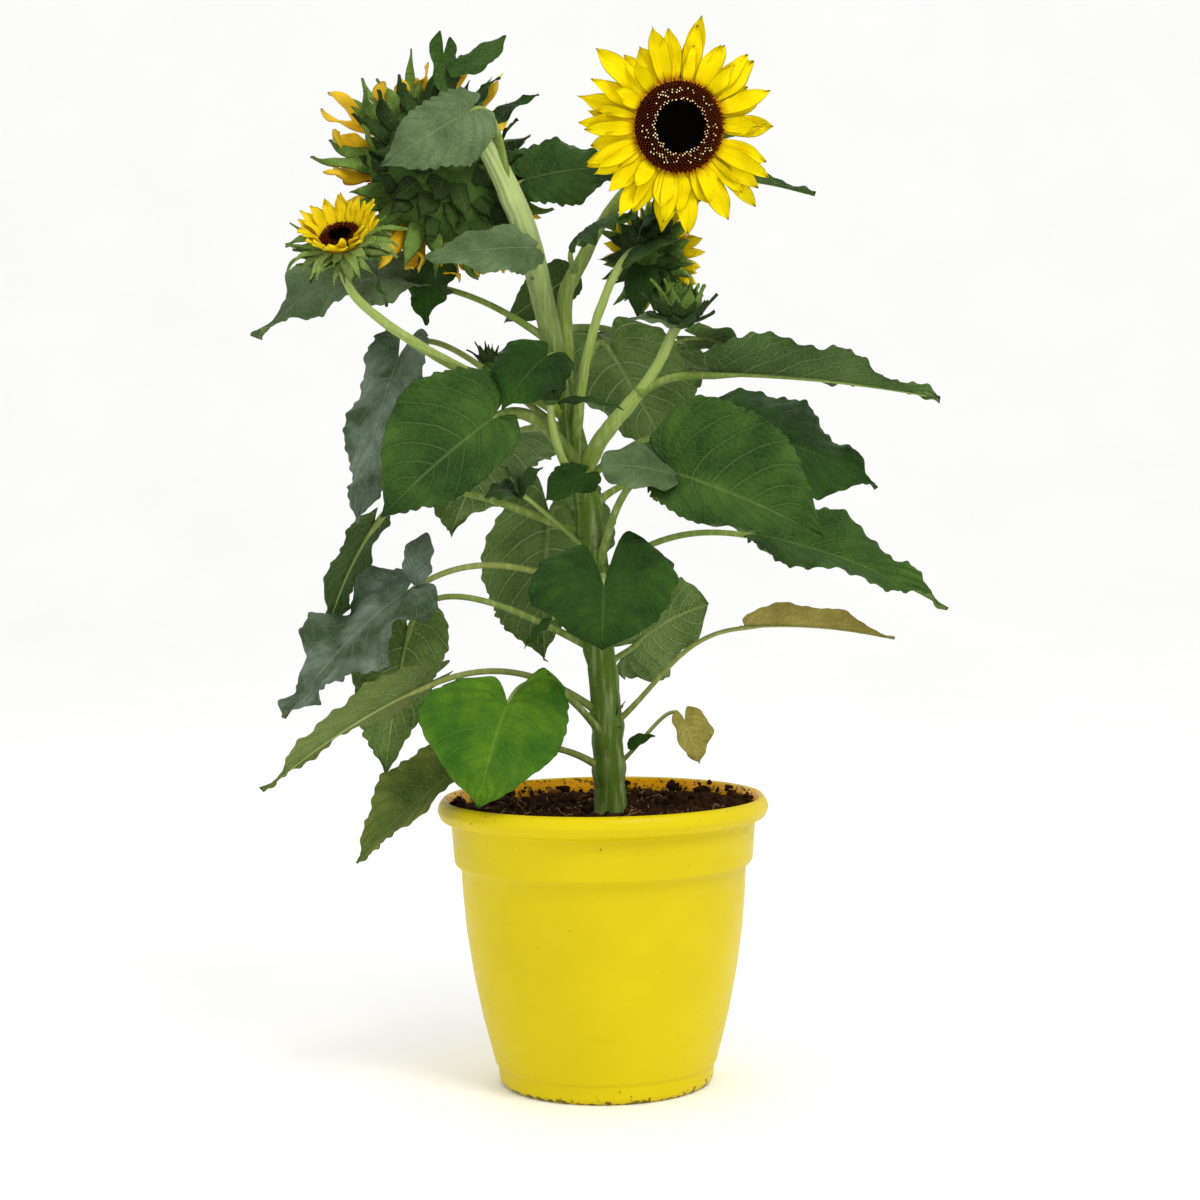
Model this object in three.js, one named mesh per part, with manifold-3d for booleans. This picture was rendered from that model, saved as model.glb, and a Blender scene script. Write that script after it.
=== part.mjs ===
// A branching sunflower in a moulded plastic pot.
// Millimetres, +Z up, +X to the right, +Y to the back. The origin is the centre of the pot's flat underside.
// Every leaf, limb and flower part is a closed solid of its own, 0.3 mm clear of the piece that carries it.
import * as THREE from 'three';
import { mergeVertices } from 'three/addons/utils/BufferGeometryUtils.js';
import Module from 'manifold-3d';

const wasm = await Module();
wasm.setup();

const CLEARANCE = 0.3; // between pieces that touch on the real plant
const UP = new THREE.Vector3(0, 0, 1);
const degrees = THREE.MathUtils.degToRad;
const vector = (p) => new THREE.Vector3(...p);

// ---- Driving sizes ----

const POT = {
  height: 225,
  footRadius: 81, // flat underside
  footHeight: 16, // the low step above the foot
  collarBottom: 173,
  collarTop: 206,
  rimRadius: 130, // widest part of the rolled rim
  wall: 3,
  floor: 4,
  sides: 30,
  drainHoles: 6,
  drainHoleRadius: 5,
  drainCircle: 58,
};

const SOIL = {
  level: 209, // where the stem leaves the compost
  bank: 215, // where the compost climbs the wall
};

const LEAF_THICKNESS = 1.7;
const PETAL_THICKNESS = 1.1;
const BRACT_THICKNESS = 1.3;

const COLOURS = {
  pot: 0xe6cb12,
  soil: 0x2a1c12,
  stem: 0x7d9a4e,
  leaf: 0x3d6b2f,
  paleLeaf: 0x5d7d4a,
  blueLeaf: 0x54706a,
  dryLeaf: 0x9a8c45,
  bract: 0x4c7432,
  petal: 0xf2d613,
  dryPetal: 0xd89a1e,
  disc: 0x3a1c0d,
};

// ---- Solids and meshes ----

/** A manifold-3d solid from a closed three.js geometry. */
function solidOf(geometry) {
  const bare = geometry.clone();
  bare.deleteAttribute('normal');
  bare.deleteAttribute('uv');
  const merged = mergeVertices(bare, 1e-4);
  const vertProperties = merged.attributes.position.array;
  const triVerts = new Uint32Array(merged.index.array);
  return new wasm.Manifold(new wasm.Mesh({ numProp: 3, vertProperties, triVerts }));
}

/** A three.js geometry from a manifold-3d solid, its smallest slivers closed up. */
function geometryOf(solid) {
  const mesh = solid.simplify(0.15).getMesh();
  const geometry = new THREE.BufferGeometry();
  geometry.setAttribute('position', new THREE.BufferAttribute(mesh.vertProperties, 3));
  geometry.setIndex(new THREE.BufferAttribute(mesh.triVerts, 1));
  return geometry;
}

const plant = new THREE.Group();

/** Adds a solid to the plant as one named mesh. */
function addPiece(name, solid, color, roughness = 0.6) {
  const flat = geometryOf(solid).toNonIndexed();
  flat.computeVertexNormals();
  const mesh = new THREE.Mesh(flat, new THREE.MeshStandardMaterial({ color, roughness, metalness: 0 }));
  mesh.name = name;
  plant.add(mesh);
}

/**
 * Closes a row of rings into one skin. Each ring is a loop of points, all of the same even count, and the last may be
 * a single point. An open end is closed by a strip between the two halves of its loop.
 */
function skin(rings) {
  const count = rings[0].length;
  const half = count / 2;
  const points = rings.flat();
  const faces = [];
  const quad = (a, b, c, d) => faces.push(a, b, c, a, c, d);
  for (let r = 0; r + 1 < rings.length; r++) {
    const a = r * count;
    const b = a + count;
    for (let i = 0; i < count; i++) {
      const j = (i + 1) % count;
      if (rings[r + 1].length === 1) faces.push(a + i, a + j, b);
      else quad(a + i, a + j, b + j, b + i);
    }
  }
  const cap = (a, turned) => {
    const ends = [];
    ends.push([0, count - 1, 1]);
    for (let i = 1; i < half - 1; i++) ends.push([i, count - i, i + 1], [i + 1, count - i, count - i - 1]);
    ends.push([half - 1, half + 1, half]);
    for (const [i, j, k] of ends) faces.push(a + i, a + (turned ? k : j), a + (turned ? j : k));
  };
  cap(0, false);
  if (rings.at(-1).length > 1) cap((rings.length - 1) * count, true);
  const geometry = new THREE.BufferGeometry().setFromPoints(points);
  geometry.setIndex(faces);
  const solid = solidOf(geometry);
  if (solid.volume() > 0) return solid;
  const turned = [];
  for (let i = 0; i < faces.length; i += 3) turned.push(faces[i], faces[i + 2], faces[i + 1]);
  geometry.setIndex(turned);
  return solidOf(geometry);
}

/** Radius at a share along a limb, from [share, radius] pairs. */
function radiusAt(radii, share) {
  const next = Math.max(1, radii.findIndex(([s]) => s >= share));
  const [s0, r0] = radii[next - 1];
  const [s1, r1] = radii[next];
  return THREE.MathUtils.mapLinear(share, s0, s1, r0, r1);
}

/** A tapering limb round a curve, with flat ends. A point end is given by a last radius of 0. */
function limbSolid(curve, radii, steps, sides, extra = 0) {
  const frames = curve.computeFrenetFrames(steps, false);
  const rings = [];
  for (let i = 0; i <= steps; i++) {
    const share = i / steps;
    const centre = curve.getPointAt(share);
    const radius = radiusAt(radii, share) + extra;
    const ring = [];
    for (let k = 0; k < sides; k++) {
      const angle = (2 * Math.PI * k) / sides;
      ring.push(centre.clone()
        .addScaledVector(frames.normals[i], radius * Math.cos(angle))
        .addScaledVector(frames.binormals[i], radius * Math.sin(angle)));
    }
    rings.push(ring);
  }
  return skin(rings);
}

// ---- Pot and compost ----

/** The pot's outside from the underside up to the rim's crest, as [radius, height]. */
const potOutside = [
  [0, 0],
  [POT.footRadius, 0],
  [POT.footRadius + 3, 3],
  [POT.footRadius + 4.2, POT.footHeight - 1],
  [POT.footRadius + 6, POT.footHeight + 0.5],
  [96.5, 53],
  [103.4, 88],
  [108.4, 122],
  [112, POT.collarBottom - 3],
  [117, POT.collarBottom + 2],
  [119.2, POT.collarTop],
  [121, POT.collarTop + 1],
  [127, POT.collarTop + 3],
  [POT.rimRadius, POT.collarTop + 10],
  [128.3, POT.height - 3.5],
  [125.4, POT.height],
];

/** The pot's inside from the rim's crest down to the middle of the floor. */
const potInside = [
  [122.6, POT.height - 1],
  [118.5, POT.height - 8],
  [116.2, POT.collarTop - 4],
  [107.5, 150],
  [96.5 - POT.wall, 53],
  [POT.footRadius + 2, POT.footHeight + 2],
  [POT.footRadius - 1, POT.floor],
  [0, POT.floor],
];

/** A body of revolution about +Z from a profile of [radius, height] that starts and ends on the axis. */
function turned(profile, sides) {
  const lathe = new THREE.LatheGeometry(profile.map(([r, z]) => new THREE.Vector2(r, z)), sides);
  const solid = solidOf(lathe.rotateX(Math.PI / 2));
  return solid;
}

function pot() {
  let body = turned([...potOutside, ...potInside], POT.sides);
  for (let i = 0; i < POT.drainHoles; i++) {
    const angle = (2 * Math.PI * i) / POT.drainHoles;
    const hole = new THREE.CylinderGeometry(POT.drainHoleRadius, POT.drainHoleRadius, 4 * POT.floor, 8);
    hole.rotateX(Math.PI / 2);
    hole.translate(POT.drainCircle * Math.cos(angle), POT.drainCircle * Math.sin(angle), 0);
    body = body.subtract(solidOf(hole));
  }
  return body;
}

function soil() {
  const filled = potInside.slice(2).map(([r, z]) => [Math.max(0, r - CLEARANCE), z]);
  const wall = filled.slice(0, -1).reverse();
  wall[0][1] += CLEARANCE;
  const top = [
    [115.8, SOIL.bank],
    [104, SOIL.level + 3],
    [80, SOIL.level - 1],
    [24, SOIL.level],
    [0, SOIL.level],
  ];
  return turned([[0, POT.floor + CLEARANCE], ...wall, ...top], POT.sides);
}

// ---- Stem and branches ----

const LIMBS = {
  main_stem: {
    path: [[6, 0, SOIL.level + CLEARANCE], [5, 0, 262], [2, 2, 312], [-3, 3, 365], [-5, 4, 412], [-10, 5, 460],
      [-17, 5, 498], [-25, 6, 534], [-33, 5, 575], [-43, 1, 622], [-52, -4, 660], [-65, -10, 695],
      [-77, -17, 720], [-88, -25, 736], [-98, -29, 740], [-106, -24, 732], [-111, -14, 722]],
    radii: [[0, 13.2], [0.04, 11.8], [0.35, 11], [0.5, 8.8], [0.62, 8.2], [0.8, 9.4], [0.92, 7.6], [1, 8.4]],
    steps: 22,
    sides: 8,
  },
  branch_front_flower: {
    from: 540,
    path: [[-24, 12, 572], [-25, 17, 600], [-23, 18, 622], [-10, 15, 646], [10, 8, 680], [30, -2, 702],
      [48, -12, 724], [60, -20, 740]],
    radii: [[0, 6.4], [0.4, 5.6], [0.6, 4], [0.85, 4.6], [1, 6.5]],
    steps: 10,
    sides: 8,
  },
  branch_back_flower: {
    from: 498,
    path: [[-14, -12, 530], [-8, -16, 566], [4, -16, 606], [18, -12, 636], [30, -4, 648], [37, 5, 651]],
    radii: [[0, 4.6], [0.7, 3.9], [1, 5]],
    steps: 9,
    sides: 8,
  },
  branch_right_bud: {
    from: 476,
    path: [[4, -14, 506], [33, -22, 540], [48, -24, 562], [58, -26, 583], [63, -26, 591]],
    radii: [[0, 7], [0.5, 6], [0.62, 4.4], [1, 3.8]],
    steps: 8,
    sides: 8,
  },
  branch_left_flower: {
    from: 522,
    path: [[-50, -2, 539], [-78, -6, 549], [-110, -24, 562], [-134, -38, 576], [-154, -48, 589], [-179, -54, 610],
      [-189, -60, 628], [-190.5, -59, 644]],
    radii: [[0, 5.6], [0.4, 3.9], [1, 2.9]],
    steps: 10,
    sides: 8,
  },
};

for (const limb of Object.values(LIMBS)) {
  const foot = limb.from === undefined ? [] : [pointAtHeight(LIMBS.main_stem, limb.from)];
  limb.curve = new THREE.CatmullRomCurve3([...foot, ...limb.path.map(vector)], false, 'centripetal');
}

/** The point on a limb's centre line at a height. */
function pointAtHeight(limb, height) {
  const samples = 200;
  for (let i = 0; i <= samples; i++) {
    const point = limb.curve.getPointAt(i / samples);
    if (point.z >= height) return point;
  }
  return limb.curve.getPointAt(1);
}

/** The room that a limb needs: the limb itself, larger by the clearance. */
function roomOf(limb) {
  limb.room ??= limbSolid(limb.curve, limb.radii, limb.steps, limb.sides, CLEARANCE);
  return limb.room;
}

/** Cuts a piece clear of limbs and keeps the part outside them. */
function clearOf(solid, ...limbs) {
  const cut = limbs.reduce((left, limb) => left.subtract(roomOf(limb)), solid);
  const parts = cut.decompose();
  return parts.reduce((largest, part) => (part.volume() > largest.volume() ? part : largest));
}

// ---- Leaves ----

/**
 * Half-width of a heart-shaped leaf at a share from its base to its tip, as a share of its largest: broad just above
 * the base, then drawn out to a point, the more so the larger the last value is.
 */
function leafOutline(share, point) {
  const half = (s) => (1 - s) ** point * (0.7 + 3 * s);
  return half(share) / half((3 - 0.7 * point) / (3 * (1 + point)));
}

/**
 * A blade between its base and tip. bow lifts its middle, roll turns it about its midrib, fold lifts its two halves
 * into a V, and lobe is how far the two ears reach back past the base, as a share of the blade's length. halves and
 * ears make one side smaller than the other.
 */
function bladeSolid({
  base, tip, width, outward, bow = 0, roll = 0, fold = 0, lobe = 0.2, halves = [1, 1], ears = [1, 1], point = 1.25,
  steps = width < 60 ? 4 : 5,
}) {
  const start = vector(base);
  const end = vector(tip);
  const chord = end.clone().sub(start);
  const length = chord.length();
  chord.normalize();
  const side = UP.clone().cross(outward);
  side.addScaledVector(chord, -side.dot(chord)).normalize().applyAxisAngle(chord, degrees(roll));
  const face = chord.clone().cross(side);
  const middle = start.clone().lerp(end, 0.5).addScaledVector(face, 2 * bow);
  const midrib = new THREE.QuadraticBezierCurve3(start, middle, end);
  const place = (share, across, lift) => {
    const along = midrib.getTangentAt(share);
    const normal = along.clone().cross(side);
    const reach = Math.abs(across);
    const hand = across < 0 ? 0 : 1;
    const half = (width / 2) * leafOutline(share, point) * halves[hand];
    const back = lobe * length * Math.sin(2.1 * reach) * (1 - share) ** 3 * ears[hand];
    return midrib.getPointAt(share)
      .addScaledVector(along, -back)
      .addScaledVector(side, across * half * Math.cos(degrees(fold)))
      .addScaledVector(normal, reach * half * Math.sin(degrees(fold)) + lift);
  };
  const rings = [];
  for (let i = 0; i < steps; i++) {
    const share = (i / steps) ** 1.15;
    const lift = (LEAF_THICKNESS / 2) * (1 - 0.5 * share);
    const top = [-0.5, 0, 0.5].map((across) => place(share, across, lift));
    rings.push([place(share, -1, 0), ...top, place(share, 1, 0), place(share, 0, -lift)]);
  }
  rings.push([end]);
  return { solid: skin(rings), midrib };
}

/** A blade without a stalk, which heads the level way from its base to its tip. */
function looseBlade(blade) {
  const outward = vector(blade.tip).sub(vector(blade.base)).setZ(0).normalize();
  return bladeSolid({ ...blade, outward }).solid;
}

/** A leaf: its stalk from a foot on a limb, running on into the midrib, fused with its blade and any further parts. */
function leafSolid({ limb = 'main_stem', foot, rise = 40, stalk = 2.8, parts = [], ...blade }) {
  const carrier = LIMBS[limb];
  const root = pointAtHeight(carrier, foot);
  const base = vector(blade.base);
  const outward = base.clone().sub(root).setZ(0).normalize();
  const { solid, midrib } = bladeSolid({ ...blade, outward });
  const reach = base.distanceTo(root) * 0.4;
  const away = outward.clone().multiplyScalar(Math.cos(degrees(rise))).addScaledVector(UP, Math.sin(degrees(rise)));
  const petiole = new THREE.CubicBezierCurve3(
    root,
    root.clone().addScaledVector(away, reach),
    base.clone().addScaledVector(midrib.getTangentAt(0), -reach),
    base,
  );
  const run = new THREE.CurvePath();
  run.add(petiole);
  run.add(new THREE.LineCurve3(base, midrib.getPointAt(0.16)));
  const share = petiole.getLength() / run.getLength();
  const radii = [[0, stalk], [share, stalk * 0.75], [1, LEAF_THICKNESS / 2]];
  const whole = parts.reduce((sum, part) => sum.add(looseBlade(part)), solid.add(limbSolid(run, radii, reach < 30 ? 3 : 5, 6)));
  return clearOf(whole, LIMBS.main_stem, ...(limb === 'main_stem' ? [] : [carrier]));
}

const LEAVES = {
  // Low on the stem
  leaf_left_lowest: { foot: 240, base: [-109, -35, 252], tip: [-188, -62, 184], width: 66, roll: -34, fold: 32, bow: 6 },
  leaf_front_heart: { foot: 262, rise: 50, base: [-70, -86, 306], tip: [-92, -106, 230], width: 116, bow: 8, roll: -30,
    lobe: 0.34, halves: [1, 0.88], ears: [0.7, 1.3] },
  leaf_left_low: { foot: 284, base: [-139, -35, 316], tip: [-258, -60, 239], width: 64, roll: 34, fold: 14, bow: 6,
    point: 1.5 },
  leaf_left_mid: { foot: 335, rise: 28, base: [-152, 15, 357], tip: [-174, 30, 240], width: 78, roll: 60, fold: 10, bow: 5 },
  leaf_right_withered: { foot: 275, rise: 38, stalk: 2.2, base: [113, 0, 357], tip: [232, 12, 344], width: 40, roll: -30,
    fold: 32, bow: 5, lobe: 0.02 },
  leaf_right_shrivelled: { foot: 244, rise: 30, stalk: 1.8, base: [65, -5, 283], tip: [76, -9, 250], width: 38, roll: 48,
    fold: 20, lobe: 0.3 },
  leaf_right_low_back: { foot: 312, rise: 66, base: [26, 42, 342], tip: [88, 62, 372], width: 104, roll: -75, bow: 5,
    lobe: 0.3, point: 0.85 },
  // Middle of the stem
  leaf_front_low_heart: { foot: 358, rise: 25, base: [3, -100, 394], tip: [1, -127, 347], width: 110, bow: 6, lobe: 0.98,
    fold: 8, ears: [0.86, 1.16] },
  leaf_left_blue: { foot: 386, rise: 20, base: [-150, -20, 389], tip: [-244, -34, 292], width: 80, roll: -36, bow: 8,
    lobe: 0.14, parts: [{ base: [-143, -22, 393], tip: [-133, -24, 434], width: 24, bow: 5, roll: 80, lobe: 0, point: 0.7 }] },
  leaf_left_upper: { foot: 428, rise: 15, stalk: 3.4, base: [-176, 6, 443], tip: [-218, 12, 350], width: 52, roll: 24,
    bow: 5, lobe: 0.12 },
  leaf_back_left: { foot: 424, rise: 50, base: [-40, 45, 448], tip: [-47, 88, 326], width: 128, bow: 4, lobe: 0.3 },
  leaf_right_long_low: { foot: 392, base: [122, -22, 429], tip: [267, -38, 370], width: 78, roll: 34, bow: 9, fold: 18,
    lobe: 0.04, point: 1.45 },
  leaf_right_heart: { foot: 388, rise: 70, stalk: 3.2, base: [57, -62, 477], tip: [168, -80, 427], width: 132, roll: 60,
    bow: 14, lobe: 0.3, fold: 18, halves: [0.46, 0.96], ears: [0.5, 0.8],
    parts: [{ base: [56, -63, 477], tip: [2, -68, 480], width: 46, bow: 4, roll: -34, lobe: 0, point: 0.7 }] },
  leaf_right_behind: { foot: 470, base: [112, 30, 512], tip: [224, 45, 464], width: 114, roll: 50, bow: 8, fold: -8,
    point: 1.4 },
  leaf_centre_small: { foot: 470, rise: 10, stalk: 1.8, base: [-10, -26, 478], tip: [-41, -46, 456], width: 34, bow: 3 },
  leaf_left_centre: { foot: 478, rise: 50, stalk: 5.5, base: [-80, -46, 520], tip: [-165, -62, 446], width: 112,
    roll: -52, bow: 8, fold: 14, lobe: 0.26, halves: [1, 0.68], ears: [1.2, 0.5] },
  leaf_left_hanging: { foot: 505, rise: 35, base: [-156, 12, 570], tip: [-184, -34, 440], width: 62, roll: -62, bow: 8,
    lobe: 0.22 },
  leaf_stem_spur: { foot: 356, rise: 20, stalk: 1.4, base: [-38, -22, 366], tip: [-59, -26, 343], width: 15, bow: 2,
    lobe: 0 },
  // Top of the stem and the branches
  leaf_left_top: { foot: 577, rise: 36, base: [-146, 8, 632], tip: [-265, 16, 587], width: 84, roll: -46, bow: 24,
    fold: -2, lobe: 0.36, halves: [0.8, 0.6], ears: [0.4, 0.8],
    parts: [{ base: [-126, 2, 645], tip: [-132, -8, 594], width: 44, bow: 3, lobe: 0.1 }] },
  leaf_dark_front: { foot: 556, rise: 10, stalk: 2.2, base: [-38, -34, 568], tip: [-72, -52, 526], width: 62, bow: 5 },
  leaf_over_head: { foot: 688, rise: 58, stalk: 3.2, base: [-93, -50, 752], tip: [-161, -66, 708], width: 66, roll: -58,
    bow: 6, fold: -10, halves: [0.72, 0.96] },
  leaf_neck_front: { foot: 640, rise: 10, stalk: 2, base: [-46, -27, 651], tip: [-129, -62, 640], width: 42, roll: -46,
    bow: 5, fold: -8, lobe: 0.06 },
  leaf_neck_right: { foot: 694, rise: 20, stalk: 2.2, base: [-54, 14, 709], tip: [24, 34, 720], width: 64, roll: 48,
    bow: 5, lobe: 0.12 },
  leaf_neck_back: { limb: 'branch_front_flower', foot: 612, rise: 30, stalk: 1.8, base: [-19, 42, 636],
    tip: [-74, 56, 600], width: 38, roll: -20, bow: 3, lobe: 0.08 },
  leaf_fork_front: { limb: 'branch_front_flower', foot: 634, rise: 20, stalk: 2.2, base: [-14, -25, 659],
    tip: [33, -41, 674], width: 70, roll: 50, fold: -16, bow: 6, lobe: 0.16 },
  leaf_behind_flower: { limb: 'branch_front_flower', foot: 628, rise: 60, stalk: 2.4, base: [76, 28, 712],
    tip: [175, 38, 696], width: 46, roll: 12, bow: 4, fold: 14 },
  leaf_back_right: { foot: 518, rise: 60, base: [12, 36, 578], tip: [64, 82, 487], width: 124, roll: -6, lobe: 0.22 },
  leaf_under_bud: { limb: 'branch_right_bud', foot: 572, rise: 30, stalk: 1.6, base: [78, -20, 582],
    tip: [120, -8, 562], width: 44, roll: -20, bow: 5, lobe: 0.3 },
  leaf_right_top: { limb: 'branch_right_bud', foot: 538, rise: 35, stalk: 3.6, base: [90, -20, 555],
    tip: [267, -6, 533], width: 84, roll: -18, fold: 26, bow: 4, lobe: 0.1, point: 1.6 },
  // Round the back
  leaf_back_far_left: { foot: 492, base: [-78, 84, 508], tip: [-128, 178, 430], width: 112, roll: 10, bow: 8 },
  leaf_back_far_right: { foot: 446, base: [84, 84, 470], tip: [150, 186, 412], width: 116, roll: -8, bow: 8 },
  leaf_back_high: { limb: 'branch_front_flower', foot: 590, rise: 10, base: [34, 96, 588], tip: [62, 184, 534],
    width: 104, bow: 8 },
  leaf_back_flower: { limb: 'branch_front_flower', foot: 690, rise: 50, stalk: 2, base: [58, 62, 738],
    tip: [82, 132, 700], width: 74, bow: 5 },
  leaf_back_low: { foot: 372, rise: 50, base: [24, 115, 392], tip: [26, 190, 334], width: 84, bow: 6 },
};

const LEAF_COLOURS = {
  leaf_left_blue: COLOURS.blueLeaf,
  leaf_left_hanging: COLOURS.blueLeaf,
  leaf_right_withered: COLOURS.dryLeaf,
  leaf_right_shrivelled: COLOURS.dryLeaf,
  leaf_left_low: COLOURS.paleLeaf,
  leaf_left_lowest: COLOURS.paleLeaf,
};

// ---- Flower heads ----

/** A pointed blade: a petal or a bract. lift is its angle above the head's plane and curl bends it back over. */
function pointedBlade({ radius, height = 0, angle, length, width, lift, curl = 0, thickness, shares }) {
  const outward = new THREE.Vector3(Math.cos(angle), Math.sin(angle), 0);
  const side = UP.clone().cross(outward);
  const rings = [];
  const centre = outward.clone().multiplyScalar(radius).setZ(height);
  let reached = 0;
  for (const [share, half] of shares) {
    const slope = degrees(lift - curl * share);
    const along = outward.clone().multiplyScalar(Math.cos(slope)).addScaledVector(UP, Math.sin(slope));
    const normal = along.clone().cross(side);
    centre.addScaledVector(along, (share - reached) * length);
    reached = share;
    if (half === 0) {
      rings.push([centre.clone()]);
      break;
    }
    const across = (half * width) / 2;
    rings.push([
      centre.clone().addScaledVector(side, -across),
      centre.clone().addScaledVector(normal, thickness / 2),
      centre.clone().addScaledVector(side, across),
      centre.clone().addScaledVector(normal, -thickness / 2),
    ]);
  }
  return skin(rings);
}

const PETAL_SHARES = [[0, 0.5], [0.5, 1], [1, 0]];
const BRACT_SHARES = [[0, 0.9], [0.45, 1], [1, 0]];

/** A whorl of rows of blades, each row turned half a step from the last. */
function whorl({ rows, count, radius, height = 0, heightStep = 0, length, width, lift, liftStep = 0, curl = 0,
  thickness, shares, uneven = 0.12 }) {
  const blades = [];
  for (let row = 0; row < rows; row++) {
    for (let i = 0; i < count; i++) {
      const wander = Math.sin(12.9 * i + 5.7 * row); // an even spread of small differences, the same each time
      blades.push(pointedBlade({
        radius,
        height: height + row * heightStep,
        angle: (2 * Math.PI * (i + row / rows + 0.22 * wander)) / count,
        length: length * (1 + uneven * wander),
        width,
        lift: lift + row * liftStep + 28 * uneven * Math.sin(7.3 * i + row),
        curl,
        thickness,
        shares,
      }));
    }
  }
  return wasm.Manifold.union(blades);
}

const HEADS = {
  flower_front: {
    centre: [64, -41, 739], azimuth: -78, tilt: -8, disc: 35, dome: 5, depth: 17,
    petals: { rows: 2, count: 15, length: 42, width: 17, lift: 4, liftStep: 9, curl: 12 },
    bracts: { rows: 1, count: 13, length: 30, width: 13, lift: -8, curl: 10 },
  },
  flower_left: {
    centre: [-190, -65, 654], azimuth: -100, tilt: 46, disc: 15.5, dome: 3, depth: 12,
    petals: { rows: 2, count: 10, length: 22, width: 10, lift: 36, liftStep: 18, curl: -4 },
    bracts: { rows: 1, count: 12, length: 20, width: 9, lift: -13, curl: -4 },
    leafyBracts: [
      { base: [-186, -52, 652], tip: [-160, -40, 606], width: 36, bow: 5, roll: 24, lobe: 0.1 },
    ],
  },
  flower_terminal: {
    centre: [-124, 12, 711], azimuth: 120, tilt: -20, disc: 56, dome: 9, depth: 32,
    petals: { rows: 1, count: 19, length: 35, width: 11, lift: 22, curl: 16, uneven: 0.3 },
    bracts: { rows: 2, count: 13, length: 40, width: 20, lift: -8, liftStep: -20, curl: -8 },
    leafyBracts: [
      { base: [-107, 0, 766], tip: [-119, -4, 822], width: 28, bow: -5, roll: 62, lobe: 0, point: 0.6 },
      { base: [-110, -3, 792], tip: [-66, -8, 816], width: 22, bow: -6, roll: 60, lobe: 0, point: 0.8 },
      { base: [-96, 18, 738], tip: [-42, -2, 772], width: 28, bow: 5, roll: 44, lobe: 0 },
      { base: [-82, 16, 716], tip: [-58, -6, 752], width: 26, bow: 4, roll: 44, lobe: 0 },
    ],
  },
  flower_back: {
    centre: [43, 21, 648], azimuth: 56, tilt: 4, disc: 22, dome: 4, depth: 17,
    petals: { rows: 1, count: 16, length: 22, width: 10, lift: 22, curl: 10, uneven: 0.2 },
    bracts: { rows: 2, count: 8, length: 24, width: 14, lift: 2, liftStep: -18, curl: -10 },
    leafyBracts: [
      { base: [38, 10, 644], tip: [32, -16, 596], width: 26, bow: 3, roll: 0, lobe: 0 },
      { base: [36, 6, 660], tip: [58, -8, 676], width: 26, bow: 7, roll: 30, lobe: 0.1 },
    ],
  },
};

const RAY_RING = 1.6; // thickness of the ring that the petals grow from

/** Turns a solid made about +Z to face along an azimuth and a tilt, at a centre. */
function facing(solid, { centre, azimuth, tilt }) {
  const normal = new THREE.Vector3(
    Math.cos(degrees(azimuth)) * Math.cos(degrees(tilt)),
    Math.sin(degrees(azimuth)) * Math.cos(degrees(tilt)),
    Math.sin(degrees(tilt)),
  );
  const side = UP.clone().cross(normal).normalize();
  const top = normal.clone().cross(side);
  const matrix = new THREE.Matrix4().makeBasis(side, top, normal).setPosition(vector(centre));
  return solid.transform(matrix.elements);
}

/** The green cup behind a head with its bracts, clear of the limb that carries it. */
function calyxSolid(head, limb) {
  const { disc, depth } = head;
  const cup = turned([
    [0, -depth],
    [disc * 0.6, -depth * 0.85],
    [disc * 0.98, -depth * 0.36],
    [disc * 1.04, -CLEARANCE],
    [0, -CLEARANCE],
  ], 14);
  const bracts = whorl({
    radius: disc * 0.9, height: -depth * 0.22, heightStep: -depth * 0.16, thickness: BRACT_THICKNESS,
    shares: BRACT_SHARES, ...head.bracts,
  });
  let solid = facing(cup.add(bracts), head);
  for (const bract of head.leafyBracts ?? []) solid = solid.add(looseBlade(bract));
  return clearOf(solid, limb);
}

/** The ring of petals round a head. */
function raysSolid(head) {
  const { disc } = head;
  const ring = turned([[disc * 0.8, 0], [disc * 1.04, 0], [disc * 1.04, RAY_RING], [disc * 0.8, RAY_RING], [disc * 0.8, 0]], 16);
  const petals = whorl({
    radius: disc, height: RAY_RING / 2, thickness: PETAL_THICKNESS, shares: PETAL_SHARES, ...head.petals,
  });
  return facing(ring.add(petals), head);
}

/** The domed disc of small florets. */
function discSolid(head) {
  const { disc, dome } = head;
  const foot = RAY_RING + CLEARANCE;
  const profile = [[0, foot], [disc * 0.97, foot], [disc * 0.97, foot + dome * 0.5], [disc * 0.82, foot + dome],
    [disc * 0.5, foot + dome * 0.85], [0, foot + dome * 0.6]];
  return facing(turned(profile, 16), head);
}

/** A closed bud: a ball of overlapping bracts, on a stalk of its own where it has one. */
function budSolid({ centre, azimuth, tilt, radius, bracts }) {
  const ball = turned([
    [0, -radius * 0.9],
    [radius * 0.62, -radius * 0.72],
    [radius, -radius * 0.1],
    [radius * 0.8, radius * 0.5],
    [0, radius * 0.8],
  ], 10);
  const points = whorl({
    radius: radius * 0.72, height: -radius * 0.3, heightStep: radius * 0.2, thickness: BRACT_THICKNESS,
    shares: BRACT_SHARES, ...bracts,
  });
  return facing(ball.add(points), { centre, azimuth, tilt });
}

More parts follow.
